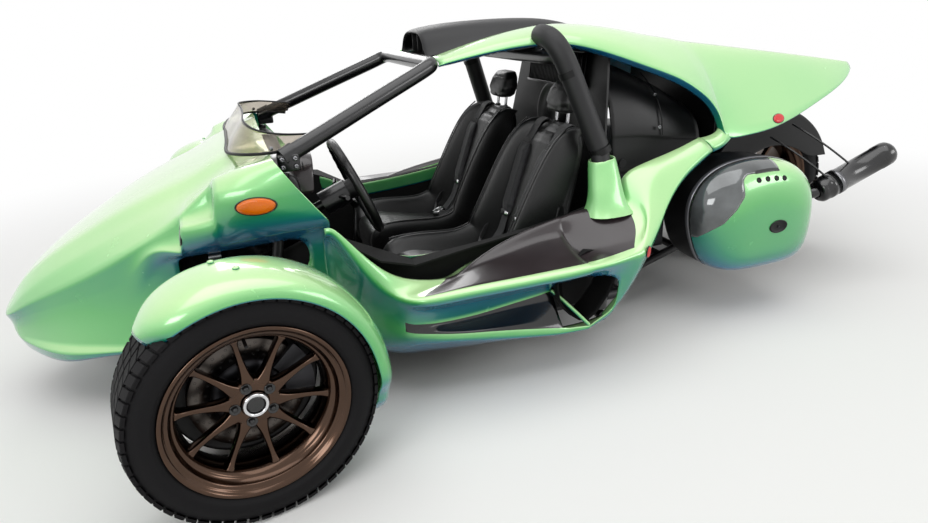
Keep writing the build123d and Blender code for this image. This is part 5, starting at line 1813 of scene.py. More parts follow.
@dataclass(frozen=True)
class Wheel:
    """One wheel: a ribbed tyre on a ten spoked rim with a deep stepped lip.

    The wheel is made about the Y axis, its outer side towards +Y, and then put in place.
    """

    word: str
    body: str
    tyre_r: float
    tyre_w: float
    rim_r: float
    rim_w: float
    face: float
    tyre_node: str
    rim_node: str
    blocks: int = 60
    spokes: int = 10
    disc_offset: float | None = -34.0
    disc_node: str = ""

    def carcass(self) -> Obj:
        """The tyre's body: beads, bulging side walls with fine rings, shoulders and crown.

        Returns:
            The piece.
        """
        half, top, bead = self.tyre_w / 2, self.tyre_r - 7, self.rim_r
        grip = self.rim_w / 2 - 12
        wall = top - bead
        outer = [(grip - 2, bead + 1), (grip + 2, bead + 10), (half - 7, bead + wall * 0.26),
                 (half - 3.4, bead + wall * 0.31), (half - 2.4, bead + wall * 0.33),
                 (half - 1, bead + wall * 0.50), (half - 3, bead + wall * 0.66),
                 (half - 5.4, bead + wall * 0.72), (half - 6.2, bead + wall * 0.75),
                 (half - 9, bead + wall * 0.86), (half - 18, top - 4), (half - 32, top),
                 (half * 0.35, top + 1.5)]
        inner = [(grip - 12, bead + 3), (half - 22, bead + wall * 0.5), (half - 38, top - 14)]
        ring = outer + [(-y, r) for y, r in outer[::-1]]
        ring += [(-y, r) for y, r in inner] + [(y, r) for y, r in inner[::-1]]
        return spun("carcass", ring, RUBBER, 96, closed=True)

    def block(self, y0: float, y1: float, lean: float, share: float) -> Obj:
        """One tread block between two widths, slanted round the tyre by an angle.

        Args:
            y0: Its inner side.
            y1: Its outer side.
            lean: The angle.
            share: Its share of the pitch.

        Returns:
            The block, at the top of the tyre.
        """
        pitch = 2 * math.pi / self.blocks
        low, high = self.tyre_r - 9, self.tyre_r - 0.3
        half = self.tyre_w / 2
        points = []
        for radius, inset in ((low, 0.0), (high - 1.2, 0.0), (high, 1.4)):
            for y, s in ((y0 + inset, -1), (y1 - inset, -1), (y1 - inset, 1), (y0 + inset, 1)):
                slant = lean * (y - y0) / (y1 - y0)
                angle = pitch * (share / 2 - inset / 30) * s + slant
                fall = max(0.0, abs(y) - half * 0.62) ** 2 / (half * 1.55)
                points.append(((radius - fall) * math.sin(angle), y, (radius - fall) * math.cos(angle)))
        faces = [(8, 9, 10, 11)]
        for k in range(8):
            a, b = k, k // 4 * 4 + (k + 1) % 4
            faces.append((a, b, b + 4, a + 4))
        piece = mesh_object("tread_block", points, faces, RUBBER)
        piece.data.shade_flat()
        return face_away(piece, (0, (y0 + y1) / 2, self.tyre_r - 40))

    def tyre(self) -> Obj:
        """The carcass with five ribs of blocks.

        Returns:
            The tyre.
        """
        half = self.tyre_w / 2
        ribs = ((-half + 5, -half * 0.62, -0.03, 0.80), (-half * 0.56, -half * 0.20, 0.05, 0.86),
                (-half * 0.13, half * 0.13, 0.02, 0.92), (half * 0.20, half * 0.56, 0.05, 0.86),
                (half * 0.62, half - 5, -0.03, 0.80))
        parts = [self.carcass()]
        for index, (y0, y1, lean, share) in enumerate(ribs):
            parts.append(turned_array("rib", self.block(y0, y1, lean, share), self.blocks, RUBBER,
                                      index * 0.03))
        return joined(f"{self.word}_tyre_skin", parts)

    def barrel(self) -> Obj:
        """The rim's barrel with the stepped outer lip, the drop behind it and the inner flange.

        Returns:
            The piece.
        """
        half, face = self.rim_w / 2, self.face
        lip = ((-9, -2), (-9, 12), (-5, 14.5), (-1, 13), (0, 9), (-3, 3), (-12, -1), (-15, -4),
               (-16, -10), (-20, -13), (-34, -16), (-38, -22))
        flange = ((14, -14), (0, -8), (0, 12), (8, 14), (9, -2))
        section = [(half + y, r) for y, r in lip] + [(face + 22, -25), (face - 6, -32), (face - 30, -36)]
        section += [(-half * 0.3, -26)] + [(y - half, r) for y, r in flange]
        return spun("barrel", section, BRONZE, 128, closed=True, r=self.rim_r)

    def spoke(self) -> Obj:
        """One spoke: broad and deep at the hub, slim at its middle and flared into the barrel.

        Returns:
            The piece.
        """
        end = self.rim_r - 27
        stations = ((40, 27.0, 2, 40), (56, 21.5, 3, 38), (68, 16.5, 3, 34), (84, 12.0, 2, 31),
                    (end * 0.60, 9.0, 0, 27), (end * 0.76, 7.6, 1, 27), (end * 0.88, 8.0, 5, 28),
                    (end * 0.95, 10.5, 10, 34), (end + 3, 17.0, 16, 44))
        corners = ((-0.55, 0.0), (0.55, 0.0), (0.86, 0.10), (1.0, 0.5), (1.1, 1.0), (-1.1, 1.0),
                   (-1.0, 0.5), (-0.86, 0.10))
        rows = [[(half * u, self.face + rise - v * depth, radius) for u, v in corners]
                for radius, half, rise, depth in stations]
        obj = lattice("spoke", rows, BRONZE, ring=True, caps=True, sharp_columns={0: 0.35, 1: 0.35})
        return settled(rounded(obj))

    def hub(self) -> list[Obj]:
        """The hub's star disc, the lug holes as black cups of painted shade with their nuts, and the ring
        cap.

        Returns:
            The pieces.
        """
        f = self.face
        parts = [spun("hub_disc", [(-40, 30), (-40, 62), (-8, 66), (1, 60), (3, 52), (4, 38), (4, 30)],
                      BRONZE, 96, closed=True, y=f),
                 spun("cap", [(0, 31), (10, 32), (15, 30), (16, 27), (15, 23), (9, 21), (9, 31), (0, 31)],
                      CHROME, 64, y=f),
                 spun("plug", [(6, 23), (10, 22), (12, 17), (12.8, 8), (13, 0)], GLOSS_BLACK, 48, y=f)]
        # The lug holes are gloss black cups: painted shade in the recesses round the nuts
        hole = spun("hole", [(2, 13), (6.5, 13.5), (7, 12.5), (6.6, 11.5), (6.2, 11), (6.2, 0)],
                    RUBBER_TRIM, 28)
        nut = spun("nut", [(-2, 6.6), (8.6, 6.6), (9.8, 5.0), (9.8, 0)], TUBE_PAINT, 6)
        for name, piece, finish in (("holes", hole, GLOSS_BLACK), ("nuts", nut, TUBE_PAINT)):
            parts.append(turned_array(name, placed(piece, moved(0, f - 1, 47)), 5, finish, 0.31))
        return parts

    def rim(self) -> Obj:
        """The whole rim.

        Returns:
            The rim.
        """
        spokes = turned_array("spokes", self.spoke(), self.spokes, BRONZE, 0.12)
        valve = rod("valve", (0, self.face + 6, self.rim_r - 30), (0, self.face + 34, self.rim_r - 40), 4,
                    RUBBER_TRIM)
        return joined(f"{self.word}_rim_skin", [self.barrel(), spokes, valve, *self.hub()])

    def disc(self) -> Obj:
        """The brake disc: two faces with drilled holes' rims, a groove between the faces and the bell.

        Returns:
            The disc.
        """
        c = self.disc_offset
        parts = [spun("ring", [(12, -1), (11, 0), (4, 0), (3, -8), (-3, -8), (-4, 0), (-12, 0), (-12, -52),
                               (12, -52)], DISC_STEEL, 96, closed=True, y=c, r=142),
                 spun("bell", [(4, 90), (14, 88), (17, 70), (18, 20), (-4, 20), (-4, 90)], DARK_STEEL, 64,
                      closed=True, y=c)]
        # The drilled holes are gloss black dots: painted shade where the holes are
        for radius, phase in ((132, 0.0), (122, 0.09), (112, 0.18), (102, 0.27)):
            dot = spun("hole", [(0, 3.2), (0.5, 3.4), (0.6, 2.8), (-0.2, 2.6), (-0.2, 0)], GLOSS_BLACK, 10)
            parts.append(turned_array("drilled", placed(dot, moved(0, c + 12, radius)), 24, GLOSS_BLACK,
                phase))
        return joined(f"{self.word}_disc_skin", parts)

    def shield(self) -> Obj:
        """The pressed dust shield behind the disc, with its stiffening rings.

        Returns:
            The shield.
        """
        profile = [(-12, 60), (-14, 96), (-10, 104), (-10, 128), (-14, 136), (-12, 178), (-8, 183),
                   (-10, 183), (-14, 180), (-17, 136), (-13, 128), (-13, 104), (-17, 96), (-15, 60)]
        return spun(f"{self.word}_dust_shield", profile, SATIN_BLACK, 72, closed=True,
                    y=self.disc_offset - 20)

    def build(self, place: Matrix) -> None:
        """Makes the wheel's pieces and puts them in place.

        Args:
            place: From the wheel's own axes to the car's, in metres.
        """
        keep(placed(self.tyre(), place), "tyre", self.tyre_node, body=self.body)
        keep(placed(self.rim(), place), "bronze", self.rim_node, body=self.body)
        if self.disc_node:
            keep(placed(self.disc(), place), "disc_steel", self.disc_node, body=self.body)
            keep(placed(self.shield(), place), "arm_steel", body=self.body.replace("front_wheel", "steer"))


# Cockpit


@dataclass(frozen=True)
class Seat:
    """A leather bucket seat: bolstered shell, two filled pads, piping and a separate headrest."""

    side: Side = Side.LEFT
    middle: float = 268.0
    # x, z, slope of the surface's normal (degrees up from forward), bolster height, depth of the
    # side wall and half width, from the front's foot over the base and up the back
    stations: tuple = (
        (397, 200, 0, 2, 30, 186), (404, 268, 8, 4, 40, 190), (398, 304, 40, 14, 70, 192),
        (366, 322, 80, 36, 130, 194), (300, 312, 97, 54, 148, 195), (210, 294, 99, 64, 128, 195),
        (120, 276, 97, 74, 110, 195), (44, 270, 84, 98, 104, 194), (-12, 288, 56, 112, 110, 188),
        (-44, 340, 28, 108, 84, 180), (-82, 432, 22, 100, 72, 174), (-122, 528, 22, 92, 68, 172),
        (-160, 620, 23, 80, 62, 171), (-190, 692, 26, 62, 52, 168), (-208, 730, 50, 34, 40, 158),
        (-236, 748, 88, 10, 24, 146), (-262, 742, 130, 0, 6, 140),
    )
    # share of the half width, share of the bolster's height and of the crown at each column
    section: tuple = ((0.0, 0.0, 1.0), (0.30, 0.0, 0.85), (0.56, 0.0, 0.2), (0.63, -0.10, -0.6),
                      (0.72, 0.30, 0.0), (0.80, 0.80, 0.0), (0.87, 1.0, 0.0), (0.94, 0.98, 0.0),
                      (0.985, 0.76, 0.0), (1.0, 0.30, 0.0))

    @property
    def y(self) -> float:
        """The seat's middle, across the car."""
        return self.middle * self.side

    def normal(self, slope: float) -> Vector:
        """The direction out of the surface, in the side view."""
        turn = math.radians(slope)
        return Vector((math.cos(turn), 0, math.sin(turn)))

    def row(self, station: tuple) -> list[Point]:
        """Half of a section from the middle to the foot of the side wall.

        Args:
            station: One of the stations.

        Returns:
            The points.
        """
        x, z, slope, rise, depth, half = station
        out = self.normal(slope)
        points = []
        for share, height, crown in self.section:
            lift = rise * height + 6 * crown
            points.append((x + out.x * lift, half * share, z + out.z * lift))
        points.append((x - out.x * depth, half * 0.985, z - out.z * depth))
        return points

    def shift(self, points: Iterable[Point]) -> list[Point]:
        """Moves points to the seat's place across the car."""
        return [(x, y + self.y, z) for x, y, z in points]

    def upholstery(self) -> Obj:
        """The bolsters and side walls, under the pads.

        Returns:
            The piece.
        """
        rows = [self.shift(both_halves(self.row(station))) for station in self.stations]
        middle = 10
        sharp = {middle + s * k: v for k, v in ((3, 0.5), (9, 0.25)) for s in (1, -1)}
        return walled(lattice("upholstery", rows, HIDE, inside=(-200, self.y, 150), sharp_columns=sharp), 6.0)

    def back_shell(self) -> Obj:
        """The hard shell behind the back.

        Returns:
            The piece.
        """
        rows = []
        for x, z, half in ((-262, 744, 140), (-272, 700, 158), (-246, 600, 166), (-218, 500, 170),
                           (-190, 400, 174), (-166, 300, 180), (-138, 216, 186), (-96, 160, 188)):
            section = ((0, 0, 0), (0, 0.6, 0), (6, 0.9, 0), (26, 1, 0), (66, 1, 14))
            rows.append(self.shift(both_halves([(x + on, half * share, z + up) for on, share,
                up in section])))
        return walled(lattice("back_shell", rows, SATIN_BLACK, inside=(100, self.y, 450)))

    def pad(self, first: int, last: int, thick: float, crown: float) -> Obj:
        """The starting shape of a pad that lies between the bolsters.

        Args:
            first: Its first station.
            last: Its last station.
            thick: Half its thickness.
            crown: How far its middle stands up, as a share.

        Returns:
            The closed shape.
        """
        rings = []
        steps = spread_rows(self.stations[first:last + 1], 10)
        for index, (x, z, slope, _, _, half) in enumerate(steps):
            out = self.normal(slope)
            end = min(index, len(steps) - 1 - index)
            lift = thick * (0.35, 0.8, 1.0)[min(end, 2)]
            wide = half * 0.60 * (0.93 if end == 0 else 1.0)
            ring = ((-1, 0.25), (-0.9, 0.8), (-0.5, 1.0), (0, 1.0 + crown), (0.5, 1.0), (0.9, 0.8),
                    (1, 0.25), (0.9, -0.5), (0, -0.6), (-0.9, -0.5))
            rings.append(self.shift([(x + out.x * lift * v, wide * u, z + out.z * lift * v) for u,
                v in ring]))
        return lattice("pad_start", rings, HIDE, ring=True, caps=True)

    def pads(self) -> None:
        """The base pad and the back pad, filled, with sewn channels across them."""
        for name, first, last, seams in (("seat_cushion", 3, 7, (0.3, 0.68)),
                                         ("seat_back_pad", 9, 14, (0.22, 0.50, 0.78))):
            pad = inflated(self.pad(first, last, 15.0, 0.25), 8.0)
            lines = []
            fine = spread_rows(self.stations[first:last + 1], 21)
            for share in seams:
                x, z, slope, _, _, half = fine[round(share * 20)]
                out = self.normal(slope) * 20
                lines.append([(x + out.x, self.y + half * u, z + out.z) for u in (-0.52, 0, 0.52)])
            along = [Vector((x, self.y, z)) + self.normal(slope) * 18 for x, z, slope, *_ in fine[2:-2]]
            lines += [[(p.x, p.y + offset, p.z) for p in along] for offset in (-62, 62)]
            keep_padded(sewn(pad, lines, 5.0, 7.0), f"{name}_{self.side.word}", "leather", 0.6)

    def piping(self) -> list[Obj]:
        """Piping along the bolsters' tops and stitches beside it.

        Returns:
            The pieces.
        """
        parts = []
        for sign in (-1, 1):
            cord, seam = [], []
            for station in self.stations[3:15]:
                row, out = self.row(station), self.normal(station[2])
                for line, (x, y, z), lift, inset in ((cord, row[7], 1.5, 0), (seam, row[6], 2.6, 3)):
                    line.append((x + out.x * lift, sign * (y - inset), z + out.z * lift))
            parts.append(hose("piping", self.shift(cord), 2.6, HIDE_SMOOTH, sides=3))
            stitch = rod("stitch", (-3.4, 0, 0), (3.4, 0, 0), 0.9, THREAD, sides=1)
            parts.append(row_along("stitches", self.shift(seam), stitch, 11.0, THREAD))
        return parts

    def headrest(self) -> None:
        """The filled headrest on two bright posts."""
        y = self.y
        rings = []
        for z, x, half_x, half_y in ((790, -252, 26, 62), (800, -254, 37, 78), (830, -259, 42, 86),
                                     (866, -268, 36, 80), (890, -276, 26, 62)):
            rings.append([(x + u * half_x, y + v * half_y, z) for u, v in squircle(16, 0.6)])
        pad = inflated(lattice("rest_start", rings, HIDE, ring=True, caps=True), 6.0, voxel=5.0)
        sewn(pad, [[(-226, y - 70, 812), (-220, y, 806), (-226, y + 70, 812)],
                   [(-236, y - 62, 872), (-230, y, 878), (-236, y + 62, 872)]], 4.0, 6.0)
        nodes = ["headrests"] if self.side is Side.LEFT else []
        keep_padded(pad, f"headrest_pad_{self.side.word}", "leather", 0.7, *nodes)
        posts = []
        for offset in (y - 40, y + 40):
            collar = spun("collar", [(0, 6), (0, 12), (4, 12), (8, 9), (8, 6)], SATIN_BLACK, 20)
            posts += [rod("post", (-250, offset, 742), (-256, offset, 800), 6, CHROME),
                      stand(collar, (-250, offset, 747), (0, 0, 1), (1, 0, 0))]
        keep_joined(f"headrest_posts_{self.side.word}", posts, "leather")

    def build(self) -> None:
        """Makes the seat."""
        parts = [self.upholstery(), self.back_shell(), *self.piping()]
        keep_joined(f"seat_shell_{self.side.word}", parts, "leather", f"seat_{self.side.word}")
        self.pads()
        self.headrest()


def spread_rows(rows: Sequence[Sequence[float]], count: int) -> list[tuple[float, ...]]:
    """Evenly numbered rows read off between given rows of numbers.

    Args:
        rows: The given rows.
        count: How many are wanted.

    Returns:
        The rows.
    """
    result = []
    for index in range(count):
        want = (len(rows) - 1) * index / (count - 1)
        k = min(int(want), len(rows) - 2)
        result.append(tuple(a + (b - a) * (want - k) for a, b in zip(rows[k], rows[k + 1])))
    return result


@dataclass(frozen=True)
class Harness:
    """The four point belts of a seat: shoulder pads, webbing, lap belts and the buckle."""

    side: Side = Side.LEFT
    middle: float = 268.0
    foot: tuple[float, float] = (-30.0, 300.0)
    head: tuple[float, float] = (-190.0, 690.0)
    proud: float = 30.0

    def along(self, share: float, lift: float) -> tuple[float, float]:
        """A point in front of the seat's back, in the side view.

        Args:
            share: How far up the back it is.
            lift: How far in front.

        Returns:
            Its x and z.
        """
        (x0, z0), (x1, z1) = self.foot, self.head
        run = Vector((x1 - x0, z1 - z0))
        out = Vector((run.y, -run.x)).normalized() * lift
        return (x0 + run.x * share + out.x, z0 + run.y * share + out.y)

    def shoulder_pad(self, offset: float) -> Obj:
        """A long flat pad on one shoulder belt, its lower end nearer to the middle.

        Args:
            offset: How far from the seat's middle its upper end is.

        Returns:
            The filled pad.
        """
        y0 = self.middle * self.side
        rings = []
        for k in range(9):
            share = 0.30 + 0.64 * k / 8
            x, z = self.along(share, self.proud)
            end = min(k, 8 - k)
            wide, thick = (32, 5) if end == 0 else (39, 10)
            y = y0 + offset * (0.62 + 0.38 * k / 8)
            (x0, z0), (x1, z1), (x2, z2) = (self.along(share, self.proud + t) for t in (-thick, 0, thick))
            rings.append([(x0, y - wide * 0.9, z0), (x1, y - wide, z1), (x2, y - wide * 0.85, z2),
                (x2, y, z2), (x2, y + wide * 0.85, z2), (x1, y + wide, z1), (x0, y + wide * 0.9, z0),
                (x0, y, z0)])
        return inflated(lattice("strap_pad", rings, PAD_CLOTH, ring=True, caps=True), 5.0, voxel=4.0)

    def build(self) -> None:
        """Makes both shoulder belts, the lap belts and the buckle."""
        word, y = self.side.word, self.middle * self.side
        parts = []
        for number, offset in ((1, -88), (2, 88)):
            nodes = ["harness_pads"] if self.side is Side.LEFT and number == 1 else []
            keep_padded(self.shoulder_pad(offset), f"shoulder_pad_{word}_{number}", "webbing", 0.5, *nodes)
            top, low = y + offset, y + offset * 0.66
            x, z = self.along(0.98, self.proud - 6)
            parts.append(self.belt([(-262, top, 735), (-236, top, 762), (-205, top, 752), (x, top, z)]))
            line = []
            for share, lift, part in ((0.34, self.proud, 0.66), (0.14, 34, 0.5), (-0.02, 62, 0.34)):
                x, z = self.along(share, lift)
                line.append((x, y + offset * part, z))
            parts.append(self.belt([*line, (52, y + offset * 0.2, 312)]))
            slider = settled(solid_box("slider", (-4, -30, -9), (4, 30, 9), CHROME, 2.0))
            x, z = self.along(0.30, self.proud + 4)
            parts.append(placed(slider, moved(x, low, z) @ turned(-22, "Y")))
        for sign in (-1, 1):
            lap = [(-30, y + sign * 150, 350), (10, y + sign * 128, 352), (52, y + sign * 92, 322),
                   (72, y + sign * 30, 312)]
            parts.append(self.belt(lap, standing=True))
        buckle = spun("buckle", [(-8, 0), (-8, 28), (0, 31), (7, 28), (9, 20), (10, 0)], SATIN_BLACK, 40)
        ring = spun("buckle_ring", [(8, 18), (11, 19), (12, 22), (9, 24), (7, 22)], CHROME, 40, closed=True)
        parts += [stand(piece, (62, y, 318), (0.35, 0, 0.94)) for piece in (buckle, ring)]
        keep_joined(f"belts_{word}", parts, "webbing")

    @staticmethod
    def belt(points: Sequence[Point], standing: bool = False) -> Obj:
        """A flat strap 46 mm wide along a path; a standing one has its width across the path.

        Args:
            points: The path.
            standing: Whether it stands.

        Returns:
            The strap.
        """
        rows = []
        knots = [Vector(p) for p in spread(points, 12)]
        for index, knot in enumerate(knots):
            run = (knots[min(index + 1, 11)] - knots[max(index - 1, 0)]).normalized()
            across = Vector((0, 1, 0)) if not standing else Vector((-0.35, 0, 0.94))
            across = (across - run * across.dot(run)).normalized() * 23
            rows.append([tuple(knot + across * u) for u in (-1, -0.9, -0.3, 0.3, 0.9, 1)])
        return walled(lattice("belt", rows, WEBBING, inside=(-400, points[0][1], 0)), 2.2, 2)


@dataclass(frozen=True)
class SteeringWheel:
    """The three spoked wheel: leather ring with stitching, pierced spokes and a plain centre cap."""

    hub: tuple[float, float, float] = (508.0, 275.0, 622.0)
    rake: float = 22.0
    ring_r: float = 155.0
    grip: float = 15.0
    spokes: tuple[float, ...] = (-63.0, 117.0, -153.0)

    def place(self) -> Matrix:
        """From the wheel's own axes, Y towards the driver, to the car's.

        Returns:
            The move and turn, in metres.
        """
        rake = math.radians(self.rake)
        axis = Vector((-math.cos(rake), 0, math.sin(rake)))
        up = Vector((math.sin(rake), 0, math.cos(rake)))
        turn = Matrix((Vector((0, 1, 0)), axis, up)).transposed().to_4x4()
        return Matrix.Translation(Vector(self.hub) * MM) @ turn

    def ring(self) -> Obj:
        """The grip ring with a flattened inner side and finger swells behind.

        Returns:
            The ring.
        """
        rows = []
        for k in range(72):
            turn = 2 * math.pi * k / 72
            ring = []
            for m in range(14):
                a = 2 * math.pi * m / 14
                swell = 1.0 + (0.06 * math.cos(turn * 24) if math.sin(a) < -0.3 else 0.0)
                r = self.ring_r + math.cos(a) * self.grip * (0.92 if math.cos(a) < 0 else 1.0)
                y = math.sin(a) * self.grip * swell * 0.94
                ring.append((r * math.cos(turn), y, r * math.sin(turn)))
            rows.append(ring)
        rows.append(rows[0])
        return edit(lattice("ring", rows, HIDE_SMOOTH, ring=True), close_seam)

    def spoke(self, angle: float) -> Obj:
        """One spoke: a dished plate with a long slot, from the hub to the ring.

        Args:
            angle: Where it stands, in degrees.

        Returns:
            The spoke.
        """
        parts = []
        for sign in (-1, 1):
            rows = []
            for r, half, y in ((30, 17, -2), (60, 14, -4), (95, 12, -6), (125, 12.5, -5), (147, 16, -2)):
                inner = 5.0 if 40 < r < 130 else 0.5
                rows.append([(r, y, sign * inner), (r, y + 2, sign * (inner + 1)), (r, y + 2, sign * half),
                             (r, y - 2.5, sign * (half + 0.6)), (r, y - 3, sign * (inner + 0.6))])
            parts.append(rounded(lattice("half_spoke", rows, DARK_STEEL, ring=True, caps=True), 2))
        return placed(joined("spoke", parts), turned(-angle, "Y"))

    def build(self) -> None:
        """Makes the wheel in place."""
        bolt = spun("bolt", [(0, 3.4), (4, 3.4), (5, 2.4), (3.4, 1.6), (3.4, 0)], STEEL, 12)
        stitch = rod("stitch", (-2.6, 0, 0), (2.6, 0, 0), 0.8, THREAD, sides=1)
        r = self.ring_r - self.grip * 0.94
        path = [(r * math.cos(math.pi * k / 30), 2.0, r * math.sin(math.pi * k / 30)) for k in range(61)]
        parts = [self.ring(), *(self.spoke(angle) for angle in self.spokes),
                 spun("boss", [(-30, 30), (-6, 34), (0, 34), (4, 31), (4, 27), (-2, 26)], SATIN_BLACK, 48),
                 spun("cap", [(0, 27), (8, 26), (11, 22), (12.5, 10), (13, 0)], GLOSS_BLACK, 48),
                 turned_array("bolts", placed(bolt, moved(0, 3, 30.5)), 6, STEEL, 0.2),
                 row_along("ring_stitches", path, stitch, 7.0, THREAD)]
        whole = placed(joined("steering_wheel_skin", parts), self.place())
        keep(whole, "leather", "steering_wheel", body="steering_wheel")
        self.stalks()

    def stalks(self) -> None:
        """The switch pod behind the wheel with two stalks."""
        parts = [spun("pod", [(-44, 0), (-44, 33), (-50, 38), (-86, 39), (-112, 34), (-116, 20), (-116, 0)],
                      SATIN_BLACK, 48)]
        for sign in (-1, 1):
            stalk = [(sign * 34, -62, 4), (sign * 66, -58, 10), (sign * 104, -50, 14)]
            parts += [hose("stalk", stalk, 5, SATIN_BLACK),
                      rod("tip", (sign * 96, -52, 13), (sign * 122, -45, 16), 7.5, GLOSS_BLACK)]
        keep(placed(joined("stalk_pod", parts), self.place()), "black_steel")


@dataclass(frozen=True)
class Dash:
    """The padded dash, the bright instrument hood and three plain dials."""

    middle: float = 275.0
    # x and z along the pad's section, from its foot by the knees to the screen
    section: tuple = ((704, 602), (694, 618), (692, 660), (694, 700), (706, 722), (734, 734),
                      (790, 741), (826, 744), (828, 700), (820, 640))
    dials: tuple = ((275.0, 702.0, 47.0), (205.0, 690.0, 27.0), (345.0, 690.0, 27.0))

    def pad(self) -> Obj:
        """The dash pad from side to side, lower at its ends.

        Returns:
            The pad.
        """
        rows = []
        for y in (-447, -440, -400, -200, 0, 120, 268, 420, 440, 447):
            pinch = 0.86 if abs(y) > 445 else (0.97 if abs(y) > 438 else 1.0)
            rows.append([(762 + (x - 762) * pinch, y, 672 + (z - 672) * pinch) for x, z in self.section])
        return rounded(lattice("dash_pad", rows, HIDE_SMOOTH, ring=True, caps=True))

    def hood(self) -> Obj:
        """The instrument hood, an arched shell open towards the driver.

        Returns:
            The hood.
        """
        rows = []
        for x, half, top in ((640, 116, 756), (648, 120, 761), (700, 118, 762), (760, 108, 756),
                (788, 96, 738), (794, 80, 716)):
            arch = []
            for k in range(13):
                c, d = math.cos(math.pi * k / 12), math.sin(math.pi * k / 12)
                arch.append((x + 12 * (1 - d), self.middle + half * rooted(c, 0.7),
                             650 + (top - 650) * rooted(d, 0.75)))
            rows.append(arch)
        return walled(lattice("hood", rows, DARK_INLAY, inside=(720, self.middle, 640),
            sharp_rows={0: 0.6}), 5.0)

    def dial(self, y: float, z: float, radius: float) -> list[Obj]:
        """One dial: bezel, face, ticks and a needle, turned towards the driver.

        Args:
            y: The dial's y.
            z: Its z.
            radius: Its radius.

        Returns:
            The pieces.
        """
        bezel = spun("bezel", [(-2, 0), (6, 1), (9, -1), (8, -4), (2, -5), (-2, -5)], CHROME, 56,
                     closed=True, r=radius)
        face = spun("face", [(0, 0), (0, radius - 2), (-12, radius - 1), (-12, 0)], GLOSS_BLACK, 48)
        tick = solid_box("tick", (-0.7, 0.2, radius * 0.74), (0.7, 1.2, radius * 0.86), PALE_LENS, 0.2)
        marks = turned_array("marks", settled(tick), 20, PALE_LENS)
        needle = solid_box("needle", (-0.9, 1.5, -radius * 0.12), (0.9, 3, radius * 0.66), AMBER, 0.4)
        needle = placed(settled(needle), turned(-128, "Y"))
        knob = spun("knob", [(0, 4.5), (4, 4), (5, 0)], SATIN_BLACK, 20)
        return [stand(piece, (668, y, z), (-0.97, 0, 0.24)) for piece in (bezel, face, marks, needle, knob)]

    def build(self) -> None:
        """Makes the dash."""
        rows = [[(672, y, z) for y in (170, 222, 275, 328, 380)] for z in (656, 690, 720, 742)]
        panel = lattice("panel", rows, SATIN_BLACK, inside=(760, 275, 700))
        parts = [self.pad(), self.hood(), walled(panel, 3.0, 1)]
        for dial in self.dials:
            parts += self.dial(*dial)
        for y, throw in ((-60, -8), (-20, 8), (20, -8), (60, 8)):
            switch = spun("switch", [(0, 13), (3, 13), (4, 9), (4, 0)], SATIN_BLACK, 28)
            parts += [stand(switch, (692, y, 664), (-1, 0, 0)),
                      rod("lever", (690, y, 664), (676, y, 664 + throw), 2.6, CHROME)]
        keep_joined("dash_skin", parts, "black_trim", "dashboard")


@dataclass(frozen=True)
class Lever:
    """The tunnel's cover, the pleated lever boot, the stick and its knob."""

    foot: tuple[float, float] = (505.0, 262.0)
    head: tuple[float, float] = (469.0, 488.0)

    def build(self) -> None:
        """Makes the lever and the tunnel."""
        rings = []
        for k in range(14):
            share = k / 13
            pleat = 3.2 if k % 2 else -2.0
            size = 42 - 30 * share ** 0.8 + (pleat if 0 < k < 13 else 0)
            x, z = self.foot[0] - 12 * share, self.foot[1] + 4 + 54 * share
            corners = squircle(16, 0.7 + 0.3 * share)
            rings.append([(x + u * size, v * size * 0.9, z) for u, v in corners])
        knob = spun("knob", [(-18, 0), (-18, 8), (-12, 14), (0, 20), (10, 21), (18, 17), (22, 8), (22.5, 0)],
                    GLOSS_BLACK, 40)
        parts = [solid_box("tunnel", (-180, -44, 155), (620, 44, 262), LINER, 12),
                 solid_box("plate", (440, -40, 260), (575, 40, 266), SATIN_BLACK, 3),
                 rounded(lattice("boot", rings, HIDE_SMOOTH, ring=True, caps=True), 1),
                 hose("stick", [(492, 0, 312), (484, 0, 380), (472, 0, 470)], 6.5, CHROME),
                 stand(knob, (self.head[0], 0, self.head[1]), (-0.17, 0, 0.985)),
                 hose("hand_brake", [(120, 0, 268), (60, 0, 290), (-20, 0, 312)], 9, HIDE_SMOOTH),
                 rod("button", (-18, 0, 311), (-32, 0, 315), 5, CHROME)]
        keep_joined("lever_skin", parts, "liner", "gear_lever")


@dataclass(frozen=True)
class PedalPads:
    """Ribbed rubber pads on the three pedals."""

    places: tuple[float, ...] = (135.0, 220.0, 305.0)

    def build(self) -> None:
        """Makes the pads."""
        parts = []
        for y in self.places:
            parts.append(solid_box("pad", (834, y - 34, 214), (838.5, y + 34, 278), RUBBER_TRIM, 2))
            for z in range(222, 282, 12):
                parts.append(solid_box("rib", (830, y - 28, z), (835, y + 28, z + 5), STEEL, 1))
        keep_joined("pedal_pads", parts, "black_steel")


